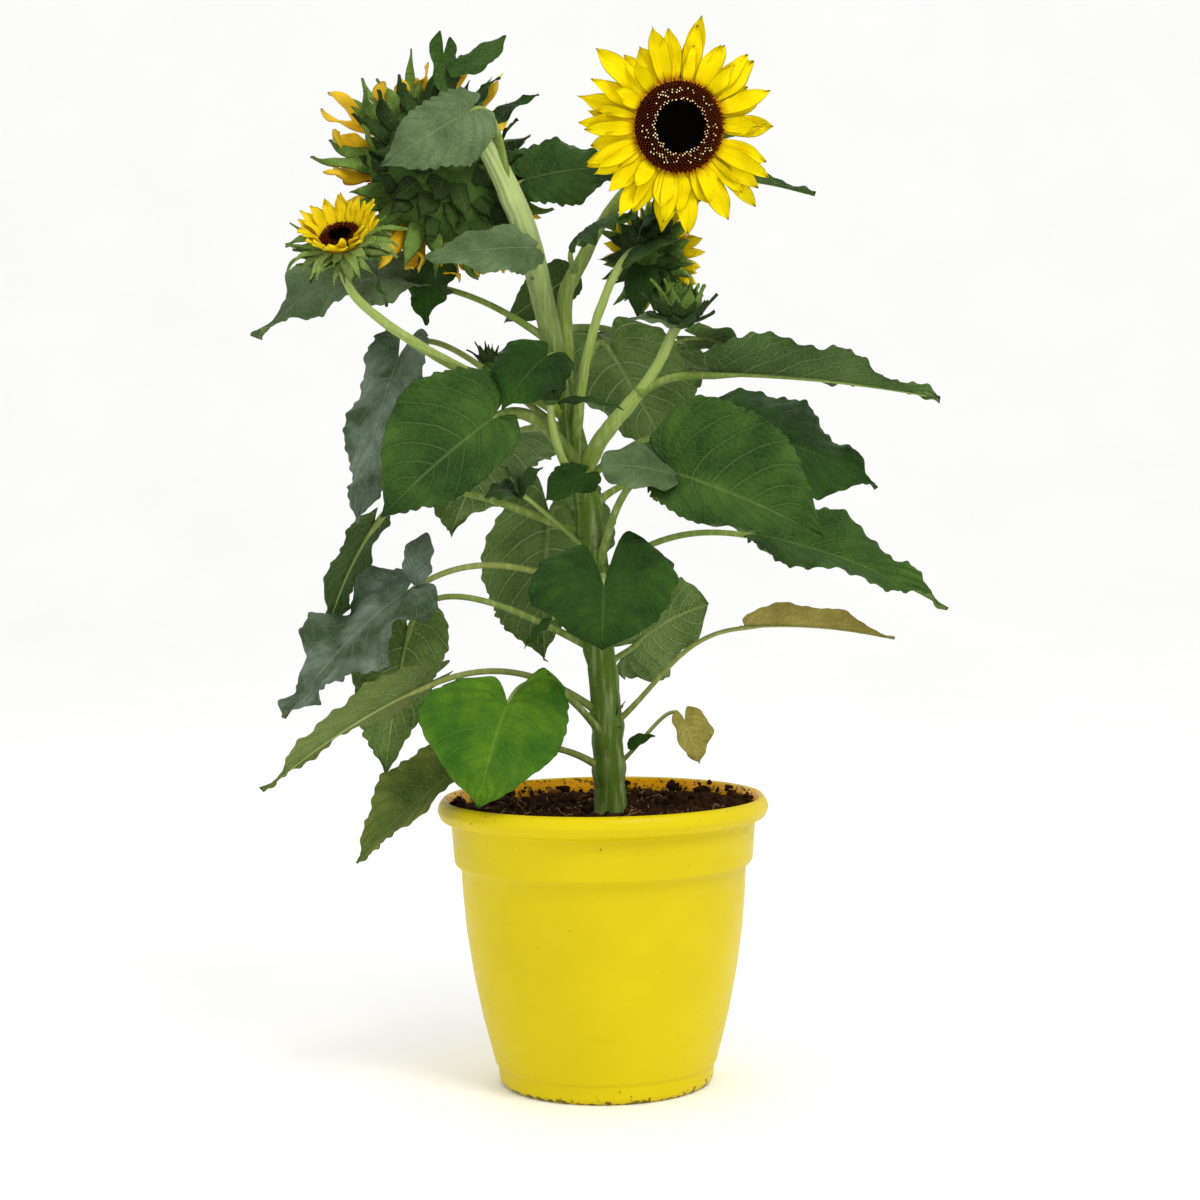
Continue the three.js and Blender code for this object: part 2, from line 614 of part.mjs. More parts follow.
const BUDS = {
  bud_right: {
    limb: 'branch_right_bud', centre: [65, -26, 600], azimuth: -80, tilt: 80, radius: 13,
    bracts: { rows: 2, count: 7, length: 24, width: 10, lift: 8, liftStep: 34, curl: -26 },
  },
  bud_left_small: {
    foot: 548, rise: 0, stalk: 2.4, centre: [-84, 28, 567], azimuth: 100, tilt: 80, radius: 8,
    bracts: { rows: 1, count: 8, length: 14, width: 5, lift: 36, curl: -20 },
  },
  bud_centre_small: {
    foot: 458, rise: 35, stalk: 3.6, centre: [-36, -32, 536], azimuth: -90, tilt: 80, radius: 7.5,
    bracts: { rows: 1, count: 8, length: 12, width: 5, lift: 36, curl: -20 },
    leaf: { base: [-30, -36, 532], tip: [20, -40, 525], width: 17, bow: 5, roll: 20, lobe: 0 },
  },
};

/** A small bud on its own stalk from the main stem, with the narrow leaf beside it where it has one. */
function stalkedBud(bud) {
  const root = pointAtHeight(LIMBS.main_stem, bud.foot);
  const seat = vector(bud.centre);
  const outward = seat.clone().sub(root).setZ(0).normalize();
  const reach = root.distanceTo(seat) * 0.45;
  const away = outward.clone().multiplyScalar(Math.cos(degrees(bud.rise)))
    .addScaledVector(UP, Math.sin(degrees(bud.rise)));
  const curve = new THREE.CubicBezierCurve3(
    root,
    root.clone().addScaledVector(away, reach),
    seat.clone().addScaledVector(UP, -reach * 0.7),
    seat,
  );
  let solid = budSolid(bud).add(limbSolid(curve, [[0, bud.stalk], [1, bud.stalk * 0.8]], 5, 6));
  if (bud.leaf) solid = solid.add(looseBlade(bud.leaf));
  return clearOf(solid, LIMBS.main_stem);
}

/** A short side shoot that carries a few small leaves. */
const SHOOT = {
  foot: 412,
  tip: [-63, -27, 465],
  stalk: 2,
  leaves: [
    { base: [-62, -28, 464], tip: [-42, -36, 482], width: 22, bow: 3, roll: 50, lobe: 0.1 },
    { base: [-62, -27, 464], tip: [-88, -26, 460], width: 30, bow: 5, roll: -30, lobe: 0.1 },
    { base: [-61, -27, 462], tip: [-74, -32, 484], width: 20, bow: 3, roll: -30, lobe: 0.1 },
  ],
};

function shootSolid() {
  const root = pointAtHeight(LIMBS.main_stem, SHOOT.foot);
  const end = vector(SHOOT.tip);
  const curve = new THREE.QuadraticBezierCurve3(root, root.clone().lerp(end, 0.5).add(new THREE.Vector3(0, 0, 4)), end);
  let solid = limbSolid(curve, [[0, SHOOT.stalk], [1, SHOOT.stalk * 0.8]], 3, 6);
  for (const leaf of SHOOT.leaves) solid = solid.add(looseBlade(leaf));
  return clearOf(solid, LIMBS.main_stem);
}

// ---- The whole plant ----

addPiece('pot', pot(), COLOURS.pot, 0.45);
addPiece('soil', soil(), COLOURS.soil, 0.95);

for (const [name, limb] of Object.entries(LIMBS)) {
  const whole = limbSolid(limb.curve, limb.radii, limb.steps, limb.sides);
  addPiece(name, name === 'main_stem' ? whole : clearOf(whole, LIMBS.main_stem), COLOURS.stem);
}

for (const [name, leaf] of Object.entries(LEAVES)) {
  addPiece(name, leafSolid(leaf), LEAF_COLOURS[name] ?? COLOURS.leaf, 0.7);
}

addPiece('shoot_left_small', shootSolid(), COLOURS.leaf, 0.7);

const HEAD_LIMBS = {
  flower_front: LIMBS.branch_front_flower,
  flower_left: LIMBS.branch_left_flower,
  flower_terminal: LIMBS.main_stem,
  flower_back: LIMBS.branch_back_flower,
};

for (const [name, head] of Object.entries(HEADS)) {
  addPiece(`${name}_calyx`, calyxSolid(head, HEAD_LIMBS[name]), COLOURS.bract);
  addPiece(`${name}_rays`, raysSolid(head), name === 'flower_terminal' ? COLOURS.dryPetal : COLOURS.petal);
  addPiece(`${name}_disc`, discSolid(head), COLOURS.disc, 0.9);
}

addPiece('bud_right', clearOf(budSolid(BUDS.bud_right), LIMBS.branch_right_bud), COLOURS.bract);
addPiece('bud_left_small', stalkedBud(BUDS.bud_left_small), COLOURS.bract);
addPiece('bud_centre_small', stalkedBud(BUDS.bud_centre_small), COLOURS.bract);

export default plant;
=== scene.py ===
"""A branching sunflower in a moulded plastic pot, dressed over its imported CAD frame.

Shapes are worked out in millimetres, +Z up, +Y to the back, and turned to metres as each mesh is made.
Limbs and leaves follow the same splines and the same heart-shaped blade as the CAD solids, carried to a
finer grid.
"""

import logging
import math
from dataclasses import dataclass, field
from enum import Enum
from typing import Any

import bmesh
import bpy
import numpy as np
from mathutils import Matrix, Vector


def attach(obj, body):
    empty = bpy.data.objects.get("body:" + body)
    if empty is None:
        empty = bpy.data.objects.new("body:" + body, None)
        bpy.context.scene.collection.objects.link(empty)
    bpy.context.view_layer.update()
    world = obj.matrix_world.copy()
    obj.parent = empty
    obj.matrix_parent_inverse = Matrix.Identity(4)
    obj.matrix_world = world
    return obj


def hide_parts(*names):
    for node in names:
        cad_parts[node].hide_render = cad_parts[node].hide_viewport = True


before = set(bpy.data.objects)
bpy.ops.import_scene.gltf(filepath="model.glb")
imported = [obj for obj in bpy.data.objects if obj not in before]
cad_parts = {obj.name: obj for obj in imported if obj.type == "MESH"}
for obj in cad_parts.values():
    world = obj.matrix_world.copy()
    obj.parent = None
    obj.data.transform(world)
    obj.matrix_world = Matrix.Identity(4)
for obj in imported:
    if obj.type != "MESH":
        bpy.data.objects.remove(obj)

Array = np.ndarray
Point = tuple[float, float, float]

LOG = logging.getLogger("sunflower")
MM = 0.001
UP = np.array([0.0, 0.0, 1.0])
GOLDEN_ANGLE = math.pi * (3 - math.sqrt(5))
FORWARD = np.array([0.0, -1.0, 0.0])
FULL_TURN = 2 * np.pi
TANGENT_STEP = 0.004  # share of a curve's length on either side of a tangent
SEAM = 2e-6  # metres: points nearer than this are one

# ---------------------------------------------------------------- curves


def unit(vectors: Array) -> Array:
    """Vectors scaled to a length of one along the last axis."""
    return vectors / np.maximum(np.linalg.norm(vectors, axis=-1, keepdims=True), 1e-12)


def spline(points: Array, samples: int = 24) -> Array:
    """A centripetal Catmull-Rom spline: cubics between points, with knots a square root of distance apart.

    Args:
        points: the points that the spline passes through, (n, 3).
        samples: steps between two points.

    Returns:
        The points of the spline, in order.
    """
    padded = np.vstack([2 * points[0] - points[1], points, 2 * points[-1] - points[-2]])
    a, b, c, d = (padded[i : len(padded) - 3 + i, None] for i in range(4))
    knots = np.sqrt(np.linalg.norm(np.diff(padded, axis=0), axis=1))[:, None, None]
    g0, g1, g2 = knots[:-2], knots[1:-1], knots[2:]
    leave = ((b - a) / g0 - (c - a) / (g0 + g1) + (c - b) / g1) * g1
    arrive = ((c - b) / g1 - (d - b) / (g1 + g2) + (d - c) / g2) * g1
    t = np.linspace(0, 1, samples, endpoint=False)[None, :, None]
    cubic = (
        (2 * t**3 - 3 * t**2 + 1) * b
        + (t**3 - 2 * t**2 + t) * leave
        + (3 * t**2 - 2 * t**3) * c
        + (t**3 - t**2) * arrive
    )
    return np.vstack([cubic.reshape(-1, 3), points[-1:]])


def bezier(controls: list[Array], samples: int = 60) -> Array:
    """A Bezier curve: the sum of its control points weighted by the Bernstein polynomials.

    Args:
        controls: three or four control points.
        samples: points on the curve.

    Returns:
        The points of the curve, (samples, 3).
    """
    t = np.linspace(0, 1, samples)[:, None]
    degree = len(controls) - 1
    return sum(
        math.comb(degree, i) * t**i * (1 - t) ** (degree - i) * point
        for i, point in enumerate(controls)
    )


@dataclass
class Path:
    """A curve as a row of points, read by the share of its length."""

    points: Array

    def __post_init__(self) -> None:
        """Measures the length up to each point."""
        steps = np.linalg.norm(np.diff(self.points, axis=0), axis=1)
        self.reached = np.concatenate([[0.0], np.cumsum(steps)])
        self.length = float(self.reached[-1])

    def at(self, share: Array) -> Array:
        """Finds points of the curve.

        Args:
            share: shares of the length, held to 0 to 1.

        Returns:
            The points, with x, y and z on a further axis.
        """
        want = np.clip(share, 0, 1) * self.length
        return np.stack([np.interp(want, self.reached, self.points[:, i]) for i in range(3)], axis=-1)

    def along(self, share: Array) -> Array:
        """Unit tangents at shares of the length."""
        return unit(self.at(np.asarray(share) + TANGENT_STEP) - self.at(np.asarray(share) - TANGENT_STEP))

    def share_of(self, z: float) -> float:
        """Finds where the curve first reaches a height.

        Args:
            z: the height, in millimetres.

        Returns:
            The share of the length, or 1 where the curve stays below.
        """
        shares = np.linspace(0, 1, 201)
        above = np.nonzero(self.at(shares)[:, 2] >= z)[0]
        return float(shares[above[0]]) if len(above) else 1.0

    def height(self, z: float) -> Array:
        """The first point of the curve at a height."""
        return self.at(self.share_of(z))


def rounded(profile: list[tuple[float, float]], radius: float, samples: int = 5) -> Array:
    """A profile with rounded corners: each gives way to a parabola between points a radius back from it.

    Args:
        profile: the corners, as (radius, height).
        radius: how far back the rounding starts, at most 0.45 of the shorter side.
        samples: points on each rounded corner.

    Returns:
        The points of the rounded profile, (n, 2).
    """
    p = np.array(profile, dtype=float)
    back, ahead = p[:-2] - p[1:-1], p[2:] - p[1:-1]
    shorter = np.minimum(*(np.linalg.norm(v, axis=1) for v in (back, ahead)))
    reach = np.minimum(radius, 0.45 * shorter)[:, None]
    start, end = p[1:-1] + unit(back) * reach, p[1:-1] + unit(ahead) * reach
    t = np.linspace(0, 1, samples)[None, :, None]
    corners = (1 - t) ** 2 * start[:, None] + 2 * t * (1 - t) * p[1:-1, None] + t**2 * end[:, None]
    return np.vstack([p[:1], corners.reshape(-1, 2), p[-1:]])


# ---------------------------------------------------------------- meshes


class Skin:
    """Collects grids of points, each with its finish, and joins them into one piece."""

    def __init__(self, name: str) -> None:
        """Starts an empty piece.

        Args:
            name: the name of the piece.
        """
        self.name = name
        self.points: list[Array] = []
        self.faces: list[Array] = []
        self.maps: dict[str, list[Array]] = {"place": [], "metric": []}
        self.slots: list[Array] = []
        self.materials: list[bpy.types.Material] = []
        self.count = 0

    def sheet(self, points: Array, finish: "Finish", place: Array, metric: Array) -> None:
        """Adds one grid, or a stack of grids of one size.

        Args:
            points: millimetres, (..., rows, columns, 3). Seams and poles are given twice and merged.
            finish: the finish of these faces.
            place: the pattern's own coordinates, (..., rows, columns, 2).
            metric: the surface's coordinates in metres, (..., rows, columns, 2).
        """
        material = finish.material()
        rows, columns = points.shape[-3:-1]
        flat = points.reshape(-1, rows * columns, 3)
        corner = (np.arange(rows - 1)[:, None] * columns + np.arange(columns - 1)).ravel()
        quad = np.stack([corner, corner + 1, corner + columns + 1, corner + columns], axis=1)
        shift = self.count + np.arange(len(flat)) * rows * columns
        self.faces.append((quad[None] + shift[:, None, None]).reshape(-1, 4))
        self.points.append(flat.reshape(-1, 3))
        for name, values in (("place", place), ("metric", metric)):
            whole = np.broadcast_to(values, (*points.shape[:-1], 2))
            self.maps[name].append(whole.reshape(-1, 2))
        if material not in self.materials:
            self.materials.append(material)
        self.slots.append(np.full(len(self.faces[-1]), self.materials.index(material), dtype=np.int32))
        self.count += flat.shape[0] * flat.shape[1]

    def tube(self, ring: Array, finish: "Finish", girth: float, share: Array | None = None) -> None:
        """Adds closed tubes from rings that end in a repeated first point.

        Args:
            ring: millimetres, (..., rows, columns, 3).
            finish: the finish of the tubes.
            girth: the mean distance round the tube, in millimetres.
            share: share along each tube, (rows,), or even steps where none is given.
        """
        rows, columns = ring.shape[-3:-1]
        share = np.linspace(0, 1, rows) if share is None else share
        turn = np.broadcast_to(np.linspace(0, 1, columns), ring.shape[:-1])
        share = np.broadcast_to(share[:, None], ring.shape[:-1])
        steps = np.linalg.norm(np.diff(ring.mean(axis=-2), axis=-2), axis=-1).sum(axis=-1)
        metric = np.stack([share * np.asarray(steps)[..., None, None] * MM, turn * girth * MM], axis=-1)
        self.sheet(ring, finish, np.stack([share, turn], axis=-1), metric)

    def piece(self, slot: str, *nodes: str) -> bpy.types.Object:
        """Makes the mesh, merges its seams and poles, and puts the piece on the root body.

        Args:
            slot: the record's material slot; not used.
            nodes: the CAD nodes that this piece stands for.

        Returns:
            The new object.
        """
        mesh = bpy.data.meshes.new(self.name)
        faces = np.vstack(self.faces)
        mesh.from_pydata(np.vstack(self.points) * MM, [], faces)
        mesh.polygons.foreach_set("material_index", np.concatenate(self.slots))
        mesh.polygons.foreach_set("use_smooth", np.ones(len(faces), dtype=bool))
        for name, values in self.maps.items():
            layer = mesh.uv_layers.new(name=name)
            layer.data.foreach_set("uv", np.vstack(values)[faces.ravel()].ravel())
        for material in self.materials:
            mesh.materials.append(material)
        shell = bmesh.new()
        shell.from_mesh(mesh)
        bmesh.ops.remove_doubles(shell, verts=shell.verts, dist=SEAM)
        bmesh.ops.dissolve_degenerate(shell, edges=shell.edges, dist=SEAM / 20)
        bmesh.ops.recalc_face_normals(shell, faces=shell.faces)
        shell.to_mesh(mesh)
        shell.free()
        made = bpy.data.objects.new(self.name, mesh)
        bpy.context.scene.collection.objects.link(made)
        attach(made, "root")
        if nodes:
            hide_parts(*nodes)
        LOG.info("%s: %d faces", self.name, len(mesh.polygons))
        return made


def tube_rings(
    path: Path, radii: Array, share: Array, across: Array, sides: int, ribs: Array | float = 0.0
) -> Array:
    """Rings round a path, closed at both ends: the path plus the radius times a turning pair of normals.

    Args:
        path: the centre line.
        radii: (share, radius) pairs, in millimetres.
        share: where the rings lie.
        across: a direction that isn't along the path, which keeps the rings from twisting.
        sides: columns round the tube.
        ribs: what is added to the radius, (rows, sides + 1) or a number.

    Returns:
        The rings, (rows + 2, sides + 1, 3).
    """
    share = np.concatenate([share[:1], share, share[-1:]])
    along = path.along(share)
    side = unit(across - (along @ across)[:, None] * along)
    lift = np.cross(along, side)
    turn = np.linspace(0, FULL_TURN, sides + 1)
    radius = np.interp(share, radii[:, 0], radii[:, 1])[:, None] + ribs
    radius = np.broadcast_to(radius, (len(share), sides + 1)).copy()
    radius[[0, -1]] = 0
    ring = np.cos(turn)[None, :, None] * side[:, None] + np.sin(turn)[None, :, None] * lift[:, None]
    return path.at(share)[:, None] + radius[..., None] * ring


def ends(share: Array) -> Array:
    """Shares with the first and the last given twice, as the closed rings need."""
    return np.concatenate([share[:1], share, share[-1:]])


def turned(profile: Array, sides: int) -> Array:
    """Turns a body of revolution about +Z: each point of the profile is carried round a circle.

    Args:
        profile: (radius, height) pairs, (rows, 2).
        sides: columns round the body.

    Returns:
        The rings, (rows, sides + 1, 3).
    """
    turn = np.linspace(0, FULL_TURN, sides + 1)
    radius, height = profile[:, :1], profile[:, 1:]
    return np.stack([radius * np.cos(turn), radius * np.sin(turn), height + 0 * turn], axis=-1)


def ripples(rng: np.random.Generator, x: Array, y: Array, size: float, waves: int = 24) -> Array:
    """Makes smooth uneven ground: a sum of sine waves of random direction over the root of their number.

    Args:
        rng: the source of chance.
        x: places across.
        y: places along, of the same shape.
        size: how far apart the swells are, about.
        waves: how many waves.

    Returns:
        The height at each place, about -1 to 1.
    """
    heading = rng.uniform(0, FULL_TURN, waves)
    pitch = FULL_TURN / (size * rng.uniform(0.6, 1.7, waves))
    phase = rng.uniform(0, FULL_TURN, waves)
    wave = pitch * (x[..., None] * np.cos(heading) + y[..., None] * np.sin(heading)) + phase
    return np.sin(wave).sum(axis=-1) / math.sqrt(waves)


BALL = np.array([(0, -1), (0.75, -0.66), (1, 0), (0.75, 0.66), (0, 1)])  # a small ball's profile

# ---------------------------------------------------------------- finishes

Tree = bpy.types.NodeTree
Inputs = dict[str | int, Any]

SMOOTH = {"interpolation_type": "SMOOTHSTEP"}


def linear(colour: str) -> tuple[float, float, float, float]:
    """An sRGB hex colour as linear red, green, blue and alpha."""
    shares = (int(colour[i : i + 2], 16) / 255 for i in (0, 2, 4))
    return (*(c / 12.92 if c <= 0.04045 else ((c + 0.055) / 1.055) ** 2.4 for c in shares), 1.0)


def add(tree: Tree, kind: str, inputs: Inputs | None = None, output: str | int = 0, **settings: Any) -> Any:
    """Adds a node with its settings, and links or sets its inputs.

    Args:
        tree: the material's tree.
        kind: the node's type, without the ShaderNode that each begins with.
        inputs: input name or place, to a socket that is linked or a value that is set.
        output: the name or place of the output that is wanted.
        settings: the node's own settings.

    Returns:
        The output's socket, or the node itself where it has no output.
    """
    node = tree.nodes.new("ShaderNode" + kind)
    for name, value in settings.items():
        setattr(node, name, value)
    for key, value in (inputs or {}).items():
        if isinstance(value, bpy.types.NodeSocket):
            tree.links.new(value, node.inputs[key])
        else:
            node.inputs[key].default_value = value
    return node.outputs[output] if node.outputs else node


def coat(
    tree: Tree, base: str, tints: list[tuple[Any, str]], height: Any, strength: float, depth: float
) -> Inputs:
    """Lays tints over a base colour, each through its mask, and presses a relief into the surface.

    Args:
        tree: the material's tree.
        base: the sRGB hex colour underneath.
        tints: masks and the sRGB hex colours that they let through, from the lowest to the topmost.
        height: the socket that carries the relief.
        strength: how strongly the relief turns the light.
        depth: how deep the relief is, in metres.

    Returns:
        What goes to the shader's colour and normal.
    """
    colour = linear(base)
    for mask, tint in tints:
        colour = add(tree, "Mix", {0: mask, 6: colour, 7: linear(tint)}, 2, data_type="RGBA")
    bump = add(tree, "Bump", {"Height": height, "Strength": strength, "Distance": depth})
    return {"Base Color": colour, "Normal": bump}


MADE: dict[str, bpy.types.Material] = {}


@dataclass(frozen=True)
class Finish:
    """What every finish has: a name, a roughness, and how strongly it reflects."""

    name: str
    roughness: float = 0.6
    ior: float = 1.45
    gloss: float = 0.12  # share of a smooth surface's reflection, halved; 0.5 is all of it

    def material(self) -> bpy.types.Material:
        """Makes the material of this finish, or finds it where it is made already.

        Returns:
            The material.
        """
        if self.name in MADE:
            return MADE[self.name]
        made = MADE[self.name] = bpy.data.materials.new(self.name)
        made.use_nodes = True
        made.node_tree.nodes.clear()
        look = {"Roughness": self.roughness, "IOR": self.ior, "Specular IOR Level": self.gloss}
        surface = add(made.node_tree, "BsdfPrincipled", look | self.paint(made.node_tree))
        add(made.node_tree, "OutputMaterial", {"Surface": surface})
        return made

    def paint(self, tree: Tree) -> Inputs:
        """Adds the pattern of this finish.

        Args:
            tree: the material's tree.

        Returns:
            What goes to the shader's sockets.
        """
        raise NotImplementedError


@dataclass(frozen=True)
class LeafTissue(Finish):
    """A living leaf's skin: rough with short hairs, so it has a soft dull gloss, and netted with veins.

    The place map holds the count of side veins passed, and how far across the half-blade a point is, from
    -1 to 1.
    """

    dark: str = "27491F"
    light: str = "3F6B2C"
    vein: str = "7F9B57"
    stain_and_painted_glow: str = "8A8A3A"
    stained: float = 0.0
    vein_shows: float = 0.6
    raised: bool = False  # the underside, where the veins stand out
    painted_furrow_shade: float = 0.55  # painted shade: how much darker the blade is painted beside its side veins, where its swelling dips
    net: float = 0.0046  # metres between the small veins
    patch: float = 0.045  # metres between lighter and darker patches
    hairs: float = 900.0  # to the metre, coarser than they grow so that they show

    def paint(self, tree: Tree) -> Inputs:
        """Paints patches, the net of small veins, the side veins and the midrib, each with its relief, and
        painted shade beside the side veins.

        Args:
            tree: the material's tree.

        Returns:
            What goes to the shader's sockets.
        """
        passed, half = add(tree, "SeparateXYZ", {0: add(tree, "UVMap", uv_map="place")}).node.outputs[:2]
        metric = add(tree, "UVMap", uv_map="metric")
        spot = add(tree, "TexCoord", output="Object")
        across = add(tree, "Math", {0: half}, operation="ABSOLUTE")
        near = add(tree, "Math", {0: passed, 1: 0.5}, operation="PINGPONG")
        width = add(tree, "Math", {0: across, 1: -0.035, 2: 0.075}, operation="MULTIPLY_ADD")
        side = add(tree, "MapRange", {0: near, 2: width, 3: 0.85, 4: 0.0}, **SMOOTH)
        rib = add(tree, "MapRange", {0: across, 2: 0.045, 3: 1.0, 4: 0.0}, **SMOOTH)
        vein = add(tree, "Math", {0: side, 1: rib}, operation="MAXIMUM")
        cells = {"voronoi_dimensions": "2D", "feature": "DISTANCE_TO_EDGE"}
        cell = add(tree, "TexVoronoi", {"Vector": metric, "Scale": 1 / self.net, "Randomness": 0.9}, **cells)
        net = add(tree, "MapRange", {0: cell, 2: 0.22, 3: 1.0, 4: 0.0}, **SMOOTH)
        patches = {"Vector": spot, "Scale": 1 / self.patch, "Detail": 4.0, "Roughness": 0.6}
        mottle = add(tree, "MapRange", {0: add(tree, "TexNoise", patches), 1: 0.36, 2: 0.66})
        hairs = add(tree, "TexNoise", {"Vector": spot, "Scale": self.hairs, "Detail": 2.0})
        tints = [(mottle, self.light)]
        if self.stained:
            spread = add(tree, "TexNoise", {"Vector": spot, "Scale": 55.0, "Detail": 5.0, "Roughness": 0.7})
            edge = add(tree, "Math", {0: across, 1: 0.22, 2: spread}, operation="MULTIPLY_ADD")
            reach = {0: edge, 1: 0.62 - 0.2 * self.stained, 2: 0.78, 4: self.stained}
            tints.append((add(tree, "MapRange", reach), self.stain_and_painted_glow))
        # Painted shade: the blade is darkened towards its side veins, as the hollows of its quilting would be
        # shaded.
        painted_furrow_shade_mask = add(tree, "MapRange", {0: near, 2: 0.3, 3: self.painted_furrow_shade, 4: 0.0}, **SMOOTH)
        faint = add(tree, "Math", {0: net, 1: 0.2 * self.vein_shows}, operation="MULTIPLY")
        strong = add(tree, "Math", {0: vein, 1: self.vein_shows}, operation="MULTIPLY")
        tints += [(painted_furrow_shade_mask, self.dark), (faint, self.vein), (strong, self.vein)]
        height, rise = hairs, 1.0 if self.raised else -1.0
        for lines, tall in ((net, 0.8), (vein, 1.1)):
            height = add(tree, "Math", {0: lines, 1: tall * rise, 2: height}, operation="MULTIPLY_ADD")
        down = {"Sheen Weight": 0.03, "Sheen Roughness": 0.5}
        return coat(tree, self.dark, tints, height, 0.7, 0.0009) | down


@dataclass(frozen=True)
class StalkTissue(Finish):
    """A green stalk: fleshy, ribbed along its length and hairy, pale towards the growing end.

    The place map holds the share along the stalk and the share round it.
    """

    low: str = "5E7F3A"
    high: str = "A9BE7E"
    streak: str = "C6D2A0"
    scar: str = "2E3312"
    scarred: float = 0.0
    fades_from: float = 0.1
    fades_to: float = 0.9
    ribs: float = 9.0
    grain: Point = (260.0, 260.0, 22.0)  # to the metre: fine round the stalk and drawn out along it
    nicks: Point = (90.0, 90.0, 170.0)  # to the metre: short level scars
    hairs: float = 1100.0  # to the metre, coarser than they grow so that they show

    def paint(self, tree: Tree) -> Inputs:
        """Paints the fade from foot to tip, streaks along the ribs and a speckle of hairs with their relief.

        Args:
            tree: the material's tree.

        Returns:
            What goes to the shader's sockets.
        """
        along, around = add(tree, "SeparateXYZ", {0: add(tree, "UVMap", uv_map="place")}).node.outputs[:2]
        spot = add(tree, "TexCoord", output="Object")
        drawn = add(tree, "Mapping", {0: spot, 3: self.grain})
        grain = add(tree, "TexNoise", {"Vector": drawn, "Scale": 1.0, "Detail": 4.0})
        hairs = add(tree, "TexNoise", {"Vector": spot, "Scale": self.hairs, "Detail": 2.0})
        wander = add(tree, "TexNoise", {"Vector": spot, "Scale": 22.0, "Detail": 3.0})
        reach = add(tree, "Math", {0: wander, 1: 0.24, 2: along}, operation="MULTIPLY_ADD")
        fade = add(tree, "MapRange", {0: reach, 1: 0.12 + self.fades_from, 2: 0.12 + self.fades_to})
        pale = add(tree, "MapRange", {0: grain, 1: 0.48, 2: 0.78, 4: 0.5})
        tints = [(fade, self.high), (pale, self.streak)]
        if self.scarred:
            drawn = add(tree, "Mapping", {0: spot, 3: self.nicks})
            nick = add(tree, "TexNoise", {"Vector": drawn, "Scale": 1.0, "Detail": 3.0})
            tints.append((add(tree, "MapRange", {0: nick, 1: 0.66, 2: 0.72, 4: self.scarred}), self.scar))
        rib = add(tree, "Math", {0: around, 1: self.ribs}, operation="MULTIPLY")
        rib = add(tree, "Math", {0: rib, 1: 0.5}, operation="PINGPONG")
        height = hairs
        for lines, tall in ((rib, 1.2), (grain, 0.9)):
            height = add(tree, "Math", {0: lines, 1: tall, 2: height}, operation="MULTIPLY_ADD")
        down = {"Sheen Weight": 0.08, "Sheen Roughness": 0.4}
        return coat(tree, self.low, tints, height, 0.6, 0.0008) | down


@dataclass(frozen=True)
class PetalTissue(Finish):
    """A ray floret's skin: thin and smooth with fine lines along it, glowing where it is youngest.

    The place map holds the share along the petal, and how far across it a point is, from -1 to 1.
    """

    root: str = "EE9A06"
    body: str = "FBDD10"
    tip: str = "F7E12A"
    root_reach: float = 0.4
    lines: float = 5.0

    def paint(self, tree: Tree) -> Inputs:
        """Paints the warm root, the body and the tip, with fine lines along the petal in tone and relief.

        Args:
            tree: the material's tree.

        Returns:
            What goes to the shader's sockets.
        """
        along, across = add(tree, "SeparateXYZ", {0: add(tree, "UVMap", uv_map="place")}).node.outputs[:2]
        spot = add(tree, "TexCoord", output="Object")
        wander = add(tree, "TexNoise", {"Vector": spot, "Scale": 45.0, "Detail": 3.0})
        reach = add(tree, "Math", {0: wander, 1: 0.22, 2: along}, operation="MULTIPLY_ADD")
        warm = add(tree, "MapRange", {0: reach, 1: 0.08, 2: 0.11 + self.root_reach}, **SMOOTH)
        far = add(tree, "MapRange", {0: reach, 1: 0.6, 2: 1.1})
        line = add(tree, "Math", {0: across, 1: self.lines}, operation="MULTIPLY")
        line = add(tree, "Math", {0: line, 1: 0.5}, operation="PINGPONG")
        groove = add(tree, "MapRange", {0: line, 2: 0.3, 3: 0.32, 4: 0.0})
        tints = [(warm, self.body), (far, self.tip), (groove, self.root)]
        glow = {"Subsurface Weight": 0.12, "Subsurface Radius": (0.004, 0.003, 0.0005)}
        return coat(tree, self.root, tints, line, 0.5, 0.0006) | glow


@dataclass(frozen=True)
class Grain(Finish):
    """A plain matter with an uneven colour and a rough relief, such as florets, compost or fibre."""

    dark: str = "1B0E07"
    light: str = "4A2A15"
    grain: float = 0.002  # metres
    relief: float = 0.0006  # metres
    contrast: float = 0.3

    def paint(self, tree: Tree) -> Inputs:
        """Paints the grain in two tones with its relief.

        Args:
            tree: the material's tree.

        Returns:
            What goes to the shader's sockets.
        """
        spot = add(tree, "TexCoord", output="Object")
        noise = {"Vector": spot, "Scale": 1 / self.grain, "Detail": 6.0, "Roughness": 0.65}
        grain = add(tree, "TexNoise", noise)
        tone = add(tree, "MapRange", {0: grain, 1: 0.5 - self.contrast / 2, 2: 0.5 + self.contrast / 2})
        return coat(tree, self.dark, [(tone, self.light)], grain, 0.9, self.relief)


